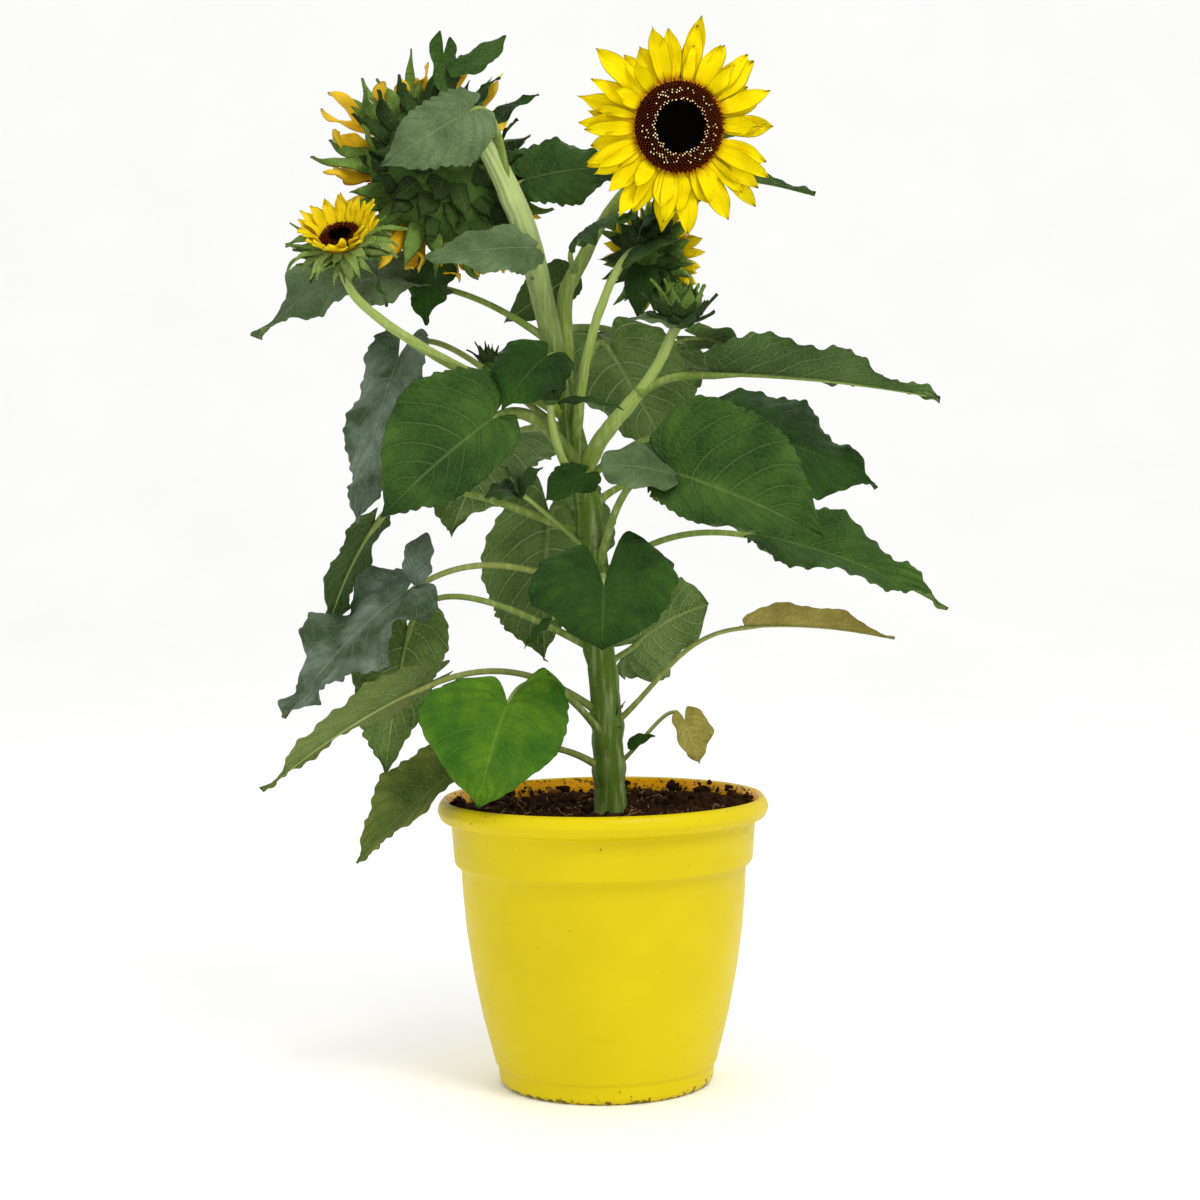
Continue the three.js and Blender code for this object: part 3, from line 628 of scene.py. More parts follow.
@dataclass(frozen=True)
class PotPlastic(Finish):
    """Injection-moulded polypropylene coloured through: satin and a little waxy, scuffed and splashed."""

    body: str = "CAB601"
    bright: str = "D8C403"
    scuff: str = "B9A004"
    # A painted glow: the orange of light bounced about inside the rim, laid on the inner wall above the
    # compost.
    stain_and_painted_glow: str = "FFB400"
    soil: str = "453414"
    clouds: float = 9.0  # these four are noise to the metre
    grit: float = 230.0
    showers: float = 14.0
    satin: float = 1400.0
    scratches: Point = (38.0, 38.0, 160.0)  # to the metre: level scratches
    wall: tuple[float, float] = (0.1222, 0.1245)  # metres from the axis, where the painted glow on the inner wall ends
    collar: tuple[float, float] = (0.2083, 0.2095)  # metres up, where the painted glow begins

    def paint(self, tree: Tree) -> Inputs:
        """Paints the slow change of tone of the moulding, dull scuffs, compost specks at the rim, dark specks
        that thicken towards the foot, and a painted orange glow on the inner wall above the compost.

        Args:
            tree: the material's tree.

        Returns:
            What goes to the shader's sockets.
        """
        spot = add(tree, "TexCoord", output="Object")
        height = add(tree, "SeparateXYZ", {0: spot}, 2)
        scales = ((self.clouds, 3.0), (self.grit, 3.0), (self.showers, 2.0), (self.satin, 1.0))
        cloud, grit, shower, satin = (
            add(tree, "TexNoise", {"Vector": spot, "Scale": scale, "Detail": detail})
            for scale, detail in scales
        )
        drawn = add(tree, "Mapping", {0: spot, 3: self.scratches})
        scratch = add(tree, "TexNoise", {"Vector": drawn, "Scale": 1.0, "Detail": 6.0, "Roughness": 0.7})
        tone = add(tree, "MapRange", {0: cloud, 1: 0.25, 2: 0.75})
        worn = add(tree, "MapRange", {0: scratch, 1: 0.6, 2: 0.78, 4: 0.45})
        flat = add(tree, "VectorMath", {0: spot, 1: (1.0, 1.0, 0.0)}, operation="MULTIPLY")
        radius = add(tree, "VectorMath", {0: flat}, "Value", operation="LENGTH")
        # Painted glow band: the inner wall above the compost, painted orange for the light bounced about
        # inside the rim; compost specks are a little thicker there too.
        within = add(tree, "MapRange", {0: radius, 1: self.wall[0], 2: self.wall[1], 3: 1.0, 4: 0.0})
        above = add(tree, "MapRange", {0: height, 1: self.collar[0], 2: self.collar[1]})
        painted_glow_band = add(tree, "Math", {0: within, 1: above}, operation="MULTIPLY")
        # Dark specks thicken over the lowest 9 mm, towards the foot.
        foot = add(tree, "MapRange", {0: height, 1: 0.001, 2: 0.009, 3: 0.24, 4: 0.0})
        rim = add(tree, "MapRange", {0: height, 1: 0.19, 2: 0.225, 4: 0.05})
        speck_density = add(tree, "Math", {0: foot, 1: rim}, operation="ADD")
        for mask, share in ((painted_glow_band, 0.14), (shower, 0.12)):
            speck_density = add(tree, "Math", {0: mask, 1: share, 2: speck_density}, operation="MULTIPLY_ADD")
        speck = add(tree, "Math", {0: grit, 1: speck_density}, operation="ADD")
        speck = add(tree, "MapRange", {0: speck, 1: 0.8, 2: 0.83, 4: 0.8})
        tints = [(tone, self.bright), (worn, self.scuff), (painted_glow_band, self.stain_and_painted_glow), (speck, self.soil)]
        rough = add(tree, "MapRange", {0: scratch, 1: 0.4, 2: 0.8, 3: 0.34, 4: 0.6})
        relief = add(tree, "Math", {0: cloud, 1: 3.0, 2: satin}, operation="MULTIPLY_ADD")
        return coat(tree, self.body, tints, relief, 0.25, 0.0004) | {"Roughness": rough}


class Habit(Enum):
    """How a leaf has grown, which sets its colours and how its blade waves."""

    FRESH = "fresh"
    YOUNG = "young"
    DEEP = "deep"
    DUSTY = "dusty"
    OLIVE = "olive"
    LIMP = "limp"
    WITHERED = "withered"


@dataclass(frozen=True)
class Growth:
    """The material slot, the finishes and the surface of one habit."""

    slot: str
    upper: LeafTissue
    under: LeafTissue
    stalk: StalkTissue
    teeth: float = 2.9  # millimetres that the teeth of the margin stand out
    wave: float = 4.6  # millimetres that the margin waves up and down
    quilt: float = 2.5  # millimetres that the blade swells between its side veins
    crumple: float = 2.1  # millimetres that it buckles


GREEN_STALK = StalkTissue("green leaf stalk", low="6D8437", high="93A857", streak="BBC888", ribs=5.0)
OLIVE_STALK = StalkTissue("ageing leaf stalk", low="7E8A42", high="9CA65E", streak="BFC48A", ribs=5.0)

GROWTHS: dict[Habit, Growth] = {
    Habit.FRESH: Growth(
        "leaf",
        LeafTissue("leaf upper side", 0.55, dark="203E11", light="426321", vein="7F954E", vein_shows=0.32),
        LeafTissue("leaf underside", 0.68, dark="496829", light="6E8A45", vein="AFC084", vein_shows=0.8,
                   raised=True),
        GREEN_STALK,
    ),
    Habit.YOUNG: Growth(
        "leaf",
        LeafTissue("young leaf upper side", 0.5, dark="2E5C0D", light="5C8612", vein="7FA03C",
                   vein_shows=0.3, painted_furrow_shade=0.35),
        LeafTissue("young leaf underside", 0.66, dark="56752B", light="708B3F", vein="A0B568",
                   vein_shows=0.7, raised=True),
        GREEN_STALK,
        wave=2.6, teeth=1.7,
    ),
    Habit.DEEP: Growth(
        "leaf",
        LeafTissue("deep green leaf upper side", 0.55, dark="152F09", light="2C510D", vein="54732E",
                   vein_shows=0.3, painted_furrow_shade=0.35),
        LeafTissue("deep green leaf underside", 0.68, dark="3B5527", light="547038", vein="889C60",
                   vein_shows=0.7, raised=True),
        GREEN_STALK,
    ),
    Habit.DUSTY: Growth(
        "leaf",
        LeafTissue("dusty leaf upper side", 0.5, dark="3E5430", light="6A8056", vein="8C9E72",
                   vein_shows=0.35, painted_furrow_shade=0.25),
        LeafTissue("dusty leaf underside", 0.66, dark="5A7238", light="7F9353", vein="A6B57C",
                   vein_shows=0.7, raised=True),
        GREEN_STALK,
        wave=6.0, quilt=1.5, crumple=4.2,
    ),
    Habit.OLIVE: Growth(
        "leaf_pale",
        LeafTissue("ageing leaf upper side", 0.6, dark="40551D", light="677A35", vein="8B9954",
                   stained=0.35, vein_shows=0.4),
        LeafTissue("ageing leaf underside", 0.7, dark="597236", light="778C4D", vein="A3B175",
                   stained=0.3, raised=True),
        OLIVE_STALK,
        wave=4.0,
    ),
    Habit.LIMP: Growth(
        "leaf_blue",
        LeafTissue("limp leaf upper side", 0.5, dark="324629", light="6D7E6C", vein="8D9B86",
                   vein_shows=0.3, painted_furrow_shade=0.3, patch=0.03),
        LeafTissue("limp leaf underside", 0.66, dark="4B5E3B", light="6D7D58", vein="95A27C", raised=True),
        OLIVE_STALK,
        teeth=3.4, wave=8.5, quilt=1.6, crumple=5.4,
    ),
    Habit.WITHERED: Growth(
        "leaf_dry",
        LeafTissue("withered leaf upper side", 0.72, dark="7F7C30", light="A9A24C", vein="C4BC7C",
                   stain_and_painted_glow="6E5A1C", stained=0.6),
        LeafTissue("withered leaf underside", 0.76, dark="837C36", light="AAA24E", vein="C4BB82",
                   stain_and_painted_glow="755F1E", stained=0.6, raised=True),
        OLIVE_STALK,
        teeth=1.6, wave=3.4, quilt=1.6, crumple=2.4,
    ),
}  # fmt: skip

# Fleshy stem: dark green and scarred where it is old, pale and streaked towards the head
STEM = StalkTissue("stem tissue", 0.6, low="506A1E", high="AFC07C", streak="BDCB96", scarred=0.7,
                   fades_from=0.58, fades_to=0.86, ribs=11.0)  # fmt: skip
BRANCH = StalkTissue("side branch tissue", 0.6, low="7A9038", high="9FB262", streak="BFCB92", ribs=8.0)
HAIR = Grain("plant hairs", 0.7, dark="9FB075", light="D3DAB8", grain=0.01, relief=0.0)

# Bracts: small rough leaves with a close net of veins, paler when young
PALE_BRACT = (
    LeafTissue("young bract inner side", dark="6A8A36", light="9DB565", vein="BCCB8C", net=0.003, painted_furrow_shade=0.2),
    LeafTissue("young bract outer side", dark="5F8030", light="93AD5A", vein="B4C582", net=0.003, painted_furrow_shade=0.2),
)
GREEN_BRACT = (
    LeafTissue("bract inner side", dark="4C6E20", light="7E9E42", vein="A9BD6E", net=0.003),
    LeafTissue("bract outer side", dark="466720", light="7A9A42", vein="A4B86A", net=0.003, raised=True),
)
# The bracts behind a head's two front rows, painted darker and the outer side most: painted shade behind the
# head.
PAINTED_SHADE_BRACT = (
    LeafTissue("painted shade bract inner side", dark="263F14", light="466425", vein="76904A", net=0.003),
    LeafTissue("painted shade bract outer side", dark="182C0B", light="37531C", vein="67803E", net=0.003, raised=True),
)
CUP = LeafTissue("flower cup", dark="33501B", light="4F6D2A", vein="7E9748", net=0.005)

# Petals: a silky yellow, deeper at the root, that dulls to amber as it dies
PETAL = PetalTissue("fresh petal", 0.5, gloss=0.04, root="C88608", body="EDD800", tip="F2E406",
                    root_reach=0.2)  # fmt: skip
YOUNG_PETAL = PetalTissue("young petal", 0.5, root="D29408", body="ECCF04", tip="F1DC18", root_reach=0.24)
SPENT_PETAL = PetalTissue("spent petal", 0.6, root="AA7A10", body="E2B61A", tip="EECB38", root_reach=0.36)

# Florets: velvety tubes that drink the light, with pale dusty pollen on those that are open
FLORET_BUD = Grain("closed disc florets", 0.8, gloss=0.02, dark="010000", light="080502", grain=0.0015)
FLORET_OPEN = Grain("open disc florets", 0.65, gloss=0.06, dark="331102", light="5E2606", grain=0.0015)
FLORET_EDGE = Grain("outer disc florets", 0.65, gloss=0.06, dark="3E1502", light="702E08", grain=0.0015)
FLORET_SPENT = Grain("spent disc florets", 0.8, dark="231509", light="5C4223", grain=0.0015)
POLLEN = Grain("pollen", 0.6, dark="E6D28C", light="FAF0C4", grain=0.002, relief=0.0002)

# Peat: matt and nearly black where it is moist, with straw-coloured fibres
COMPOST = Grain("moist peat compost", 0.95, dark="0B0502", light="4A2A0F", grain=0.0035, relief=0.0014,
                contrast=0.4)  # fmt: skip
CRUMB = Grain("compost crumbs", 0.95, dark="080401", light="46290F", grain=0.004, relief=0.001, contrast=0.5)
FIBRE = Grain("peat fibres", 0.8, dark="6E5230", light="AC9062", grain=0.004, relief=0.0002)

PLASTIC = PotPlastic("moulded plastic", 0.42, 1.49, 0.15)
FLOOR = Grain("pale studio floor", 0.8, dark="FBFBFB", light="FEFEFE", grain=0.4, relief=0.0)

# ---------------------------------------------------------------- pot and compost


@dataclass
class Pot:
    """The moulded pot: a low foot step, a shoulder under its collar and a rolled rim."""

    foot_radius: float = 81.0
    foot_height: float = 16.0
    collar_bottom: float = 173.0
    collar_top: float = 206.0
    rim_radius: float = 130.0
    height: float = 225.0
    wall: float = 3.0
    floor: float = 4.0
    drain_holes: int = 6
    drain_hole_radius: float = 5.0
    drain_circle: float = 58.0  # radius of the circle that the holes stand on
    soft: float = 5.0  # how far the corners of the body are rounded
    crisp: float = 1.6  # and those of the collar and the rim
    sides: int = 144

    def outside(self) -> Array:
        """Draws the profile from the underside up to the rim's crest.

        Returns:
            (radius, height) pairs.
        """
        foot, top = self.foot_radius, self.collar_top
        step = self.foot_height
        low = [(0, 0), (foot, 0), (foot + 3.2, 3.5), (foot + 4.2, step - 1), (foot + 6.2, step + 0.8)]
        body = [(96.5, 53), (103.4, 88), (108.4, 122), (110.8, 150), (111.9, self.collar_bottom - 3)]
        high = [(117, self.collar_bottom + 2), (119.4, top), (121.4, top + 1.2), (127.2, top + 3.2)]
        rim = [(self.rim_radius, top + 10), (128.3, self.height - 3.5), (125.4, self.height)]
        collar = rounded([*body[-1:], *high, *rim], self.crisp)
        return np.vstack([rounded([*low, *body], self.soft), collar[1:]])

    def inside(self) -> Array:
        """Draws the profile from the rim's crest down to the middle of the floor.

        Returns:
            (radius, height) pairs.
        """
        crest, foot = self.height, self.foot_radius
        rim = [(125.4, crest), (122.6, crest - 1), (118.6, crest - 8), (116.2, self.collar_top - 4)]
        side = [(107.5, 150), (96.5 - self.wall, 53), (foot + 2, self.foot_height + 2)]
        return rounded([*rim, *side, (foot - 1, self.floor), (0, self.floor)], self.wall)

    def build(self) -> None:
        """Makes the pot and cuts its drainage holes."""
        profile = np.vstack([self.outside(), self.inside()[1:]])
        skin = Skin("moulded_pot")
        skin.tube(turned(profile, self.sides), PLASTIC, 700)
        pot = skin.piece("pot", "pot")
        turn, hole = FULL_TURN * np.arange(self.drain_holes) / self.drain_holes, self.drain_hole_radius
        bore = turned(np.array([(0, -9), (hole, -9), (hole, 9), (0, 9)]), 24)
        spot = np.stack([np.cos(turn), np.sin(turn), 0 * turn], axis=-1) * self.drain_circle
        cutter = Skin("drain_cutter")
        cutter.tube(bore[None] + spot[:, None, None], PLASTIC, 31)
        tool = cutter.piece("pot")
        cut = pot.modifiers.new("drainage", "BOOLEAN")
        cut.operation, cut.solver, cut.object = "DIFFERENCE", "EXACT", tool
        bpy.context.view_layer.update()
        done = bpy.data.meshes.new_from_object(pot.evaluated_get(bpy.context.evaluated_depsgraph_get()))
        pot.modifiers.remove(cut)
        pot.data = done
        bpy.data.objects.remove(tool)


@dataclass
class Compost:
    """Peat compost that fills the pot: a lumpy top that climbs the wall, loose crumbs and pale fibres."""

    level: float = 209.0
    bank: float = 216.0  # the height at the wall
    wall_radius: float = 116.0
    crumbs: int = 2200
    fibres: int = 90
    seed: int = 11

    def surface(self, x: Array, y: Array) -> Array:
        """Works out the top: the level, a bank that rises with the fourth power of the radius, and lumps.

        Args:
            x: places across, in millimetres.
            y: places to the back.

        Returns:
            The heights there.
        """
        rng = np.random.default_rng(self.seed)
        radius = np.hypot(x, y) / self.wall_radius
        bank = (self.bank - self.level) * radius**4 * (0.75 + 0.25 * np.sin(np.arctan2(y, x) * 2 + 0.6))
        lumps = 2.2 * ripples(rng, x, y, 30)
        lumps = lumps + 2.0 * np.abs(ripples(rng, x, y, 10)) + 1.1 * ripples(rng, x, y, 4)
        return self.level + bank + lumps * (1 - 0.5 * radius**8) * (1 - np.exp(-((radius / 0.16) ** 2)))

    def build(self) -> None:
        """Makes the compost, its crumbs and its fibres as one piece."""
        rng = np.random.default_rng(self.seed + 1)
        skin = Skin("peat_compost")
        edge, high, sides = 115.9, self.level, 200
        low = np.array([(0, 4.4), (79, 4.4), (82.6, 18), (93, 53), (107, 150), (115.6, 203), (edge, high)])
        radius = np.linspace(edge, 0, 110)
        top = turned(np.stack([radius, np.full(len(radius), high)], axis=1), sides)
        top[..., 2] = self.surface(top[..., 0], top[..., 1])
        wall = turned(low, sides)
        wall[-1] = top[0]
        whole = np.concatenate([wall[:-1], top])
        skin.tube(whole, COMPOST, 600)
        turn = rng.uniform(0, FULL_TURN, self.crumbs)
        reach = 114.5 * np.sqrt(rng.uniform(0.02, 1, self.crumbs))
        size = rng.gamma(1.3, 0.75, self.crumbs) + 0.4
        climb = rng.exponential(2.4, self.crumbs) * (reach > 106)
        reach = np.where(climb > 0, 115.8 + 0.2 * climb - 0.3 * size, reach)
        x, y = reach * np.cos(turn), reach * np.sin(turn)
        lump = self.lumps(rng, self.crumbs) * size[:, None, None, None]
        lump += np.stack([x, y, self.surface(x, y) + 0.25 * size + climb], axis=-1)[:, None, None]
        skin.tube(lump, CRUMB, 12)
        skin.tube(self.strands(rng), FIBRE, 1.5)
        skin.piece("soil", "soil")

    def lumps(self, rng: np.random.Generator, count: int) -> Array:
        """Makes uneven little balls of about unit size: each point of a ball is moved in or out at random.

        Args:
            rng: the source of chance.
            count: how many.

        Returns:
            The balls, (count, 5, 8, 3).
        """
        ring = turned(BALL, 7)
        rough = rng.uniform(0.6, 1.25, (count, 5, 8, 1))
        rough[:, :, -1] = rough[:, :, 0]
        rough[:, [0, -1]] = rough[:, [0, -1], :1]
        return ring[None] * rough * rng.uniform(0.6, 1.3, (count, 1, 1, 3))

    def strands(self, rng: np.random.Generator) -> Array:
        """Makes thin bent fibres that lie on the top: each line bends aside with the square of its share.

        Args:
            rng: the source of chance.

        Returns:
            Closed four-sided tubes, (fibres, 8, 5, 3).
        """
        turn = rng.uniform(0, FULL_TURN, self.fibres)
        reach = 106 * np.sqrt(rng.uniform(0.05, 1, self.fibres))
        middle = np.stack([reach * np.cos(turn), reach * np.sin(turn)], axis=-1)
        heading = rng.uniform(0, FULL_TURN, self.fibres)
        length = rng.uniform(6, 20, self.fibres)
        s = np.linspace(-0.5, 0.5, 6)
        bend = rng.uniform(-0.5, 0.5, (self.fibres, 1)) * length[:, None] * (s**2)
        ahead = np.stack([np.cos(heading), np.sin(heading)], axis=-1)[:, None]
        aside = np.stack([-np.sin(heading), np.cos(heading)], axis=-1)[:, None]
        line = middle[:, None] + ahead * (s * length[:, None])[..., None] + aside * bend[..., None]
        high = self.surface(line[..., 0], line[..., 1]) + 1.2
        high = high + rng.uniform(0, 2.5, (self.fibres, 1)) * (s + 0.5)
        spine = np.concatenate([line, high[..., None]], axis=-1)
        spine = np.concatenate([spine[:, :1], spine, spine[:, -1:]], axis=1)
        radius = np.array([0, 0.35, 0.42, 0.45, 0.42, 0.4, 0.3, 0])[:, None, None]
        angle = np.linspace(0, FULL_TURN, 5)
        spread = np.cos(angle)[:, None] * np.concatenate([aside, 0 * aside[..., :1]], axis=-1)[:, :, None]
        return spine[:, :, None] + radius * (spread + np.sin(angle)[:, None] * UP)


# ---------------------------------------------------------------- stem and branches


@dataclass
class Limb:
    """One tapering limb: the points of its spline and its radius at shares of its length."""

    points: list[Point]
    radii: list[tuple[float, float]]
    leaves_stem_at: float | None = None  # a height on the stem
    sides: int = 40
    rib: float = 0.35  # how far its ribs stand out
    hairs: int = 0

    def follow(self, stem: Path | None) -> Path:
        """Lays the limb's path, starting inside the stem where it leaves it.

        Args:
            stem: the stem's path, or None for the stem itself.

        Returns:
            The path.
        """
        points = np.array(self.points, dtype=float)
        if stem is not None and self.leaves_stem_at is not None:
            points = np.vstack([stem.height(self.leaves_stem_at), points])
        return Path(spline(points))


MAIN = "main_stem"

LIMBS: dict[str, Limb] = {
    MAIN: Limb(
        [(6, 0, 209.3), (5, 0, 262), (2, 2, 312), (-3, 3, 365), (-5, 4, 412), (-10, 5, 460), (-17, 5, 498),
         (-25, 6, 534), (-33, 5, 575), (-43, 1, 622), (-52, -4, 660), (-65, -10, 695), (-77, -17, 720),
         (-88, -25, 736), (-98, -29, 740), (-106, -24, 732), (-111, -14, 722)],
        [(0, 13.2), (0.04, 11.8), (0.35, 11), (0.5, 8.8), (0.62, 8.2), (0.8, 9.4), (0.92, 7.6), (1, 8.4)],
        sides=64,
        hairs=2600,
    ),
    "branch_front_flower": Limb(
        [(-24, 12, 572), (-25, 17, 600), (-23, 18, 622), (-10, 15, 646), (10, 8, 680), (30, -2, 702),
         (48, -12, 724), (60, -20, 740)],
        [(0, 6.4), (0.4, 5.6), (0.6, 4), (0.85, 4.6), (1, 6.5)],
        leaves_stem_at=540,
        hairs=500,
    ),
    "branch_back_flower": Limb(
        [(-14, -12, 530), (-8, -16, 566), (4, -16, 606), (18, -12, 636), (29, -3, 648), (35, 7, 649),
         (40, 15, 648)],
        [(0, 4.2), (0.4, 3.3), (0.75, 3.1), (1, 4.6)],
        leaves_stem_at=498,
        hairs=400,
    ),
    "branch_right_bud": Limb(
        [(4, -14, 506), (33, -22, 540), (48, -24, 562), (58, -26, 583), (63, -26, 591)],
        [(0, 7), (0.5, 5.2), (0.62, 4), (1, 3.6)],
        leaves_stem_at=476,
        hairs=400,
    ),
    "branch_left_flower": Limb(
        [(-50, -2, 539), (-78, -6, 549), (-110, -24, 562), (-134, -38, 576), (-154, -48, 589),
         (-179, -54, 610), (-189, -60, 628), (-190.5, -59, 644)],
        [(0, 5.6), (0.4, 3.9), (1, 2.9)],
        leaves_stem_at=522,
        hairs=500,
    ),
}  # fmt: skip


@dataclass
class Framework:
    """The stem and its branches, and the places where leaves leave them."""

    seed: int = 3
    ring_gap: float = 1.6  # millimetres between the rings of a limb
    rooted: float = 4.0  # millimetres that the stem's foot goes down into the compost
    paths: dict[str, Path] = field(default_factory=dict)

    def __post_init__(self) -> None:
        """Lays the stem first, then the branches that leave it."""
        self.paths[MAIN] = LIMBS[MAIN].follow(None)
        for name, limb in LIMBS.items():
            if name != MAIN:
                self.paths[name] = limb.follow(self.paths[MAIN])

    def build(self, feet: dict[str, list[tuple[float, Array]]]) -> None:
        """Makes each limb: ribs along it and, on the side where a leaf leaves it, a swelling over a ledge.

        Args:
            feet: limb name to the height at which each leaf leaves it and the level direction that it takes.
        """
        rng = np.random.default_rng(self.seed)
        for name, limb in LIMBS.items():
            path = self.paths[name]
            share = np.linspace(0, 1, int(path.length / self.ring_gap))
            whole = ends(share)[:, None]
            rings = tube_rings(path, np.array(limb.radii), share, FORWARD, limb.sides)
            outward = unit(rings - path.at(ends(share))[:, None])
            turn = np.linspace(0, FULL_TURN, limb.sides + 1)[None]
            radius = np.interp(whole, *zip(*limb.radii))
            ribs = limb.rib * np.sin(11 * turn + 3 * np.sin(4 * whole)) + 0.25 * np.sin(5 * turn + 40 * whole)
            if name == MAIN:
                ribs = ribs + 0.3 * np.exp(-whole / 0.03) * (1 + np.sin(5 * turn))
            for foot, heading in feet.get(name, []):
                where = (whole - path.share_of(foot)) * path.length
                near = np.clip(outward @ heading, 0, 1) ** 1.5
                swelling, ledge = np.exp(-(((where - 3) / 7) ** 2)), np.exp(-(((where + 9) / 1.5) ** 2))
                ribs = ribs + near * radius * (0.17 * swelling - 0.05 * ledge)
            ribs = ribs * (np.linalg.norm(outward, axis=-1) > 0.5)
            rings = rings + outward * ribs[..., None]
            if name == MAIN:
                rings[:2, :, 2] -= self.rooted
            skin = Skin(f"ribbed_{name}")
            skin.tube(rings, STEM if name == MAIN else BRANCH, FULL_TURN * limb.radii[0][1], ends(share))
            skin.tube(bristles(rng, rings, limb.hairs), HAIR, 1.0)
            skin.piece("stem", name)


def bristles(rng: np.random.Generator, rings: Array, count: int, length: float = 1.5) -> Array:
    """Short stiff hairs on a tube: each a thin spike along the surface normal, leaning at random.

    Args:
        rng: the source of chance.
        rings: the rings of the tube.
        count: how many hairs.
        length: their mean length, in millimetres.

    Returns:
        Closed three-sided spikes, (count, 3, 4, 3).
    """
    row, column = rng.integers(2, len(rings) - 2, count), rng.integers(0, rings.shape[1] - 1, count)
    root = rings[row, column]
    out = unit(root - rings[row].mean(axis=1))
    lean = unit(out + 0.5 * rng.normal(size=(count, 3)))
    side = unit(np.cross(lean, UP) + 1e-6)
    other = np.cross(lean, side)
    angle = np.linspace(0, FULL_TURN, 4)
    ring = np.cos(angle)[None, :, None] * side[:, None] + np.sin(angle)[None, :, None] * other[:, None]
    tall = (length * rng.uniform(0.6, 1.4, (count, 1)) * lean)[:, None]
    foot = np.broadcast_to(root[:, None], ring.shape)
    return np.stack([foot, foot + 0.09 * ring + 0.1 * tall, foot + tall], axis=1)


# ---------------------------------------------------------------- leaves


def leaf_outline(share: Array | float, point: float) -> Array | float:
    """Half-width of a heart-shaped leaf, as a share of its largest: broad low down, drawn out to a point.

    Args:
        share: shares from base to tip.
        point: how drawn out the tip is; 1.25 is usual, and less is rounder.

    Returns:
        The half-widths, (1 - share) to the power of point, times 0.7 + 3 share, over the largest such value.
    """
    broadest = (3 - 0.7 * point) / (3 * (1 + point))
    return (1 - share) ** point * (0.7 + 3 * share) / ((1 - broadest) ** point * (0.7 + 3 * broadest))


def turn_about(vector: Array, axis: Array, angle: float) -> Array:
    """Turns a vector about an axis, by Rodrigues' formula.

    Args:
        vector: what is turned.
        axis: the axis, of length one.
        angle: how far, in degrees.

    Returns:
        The turned vector.
    """
    a = math.radians(angle)
    along = axis * (axis @ vector) * (1 - math.cos(a))
    return vector * math.cos(a) + np.cross(axis, vector) * math.sin(a) + along


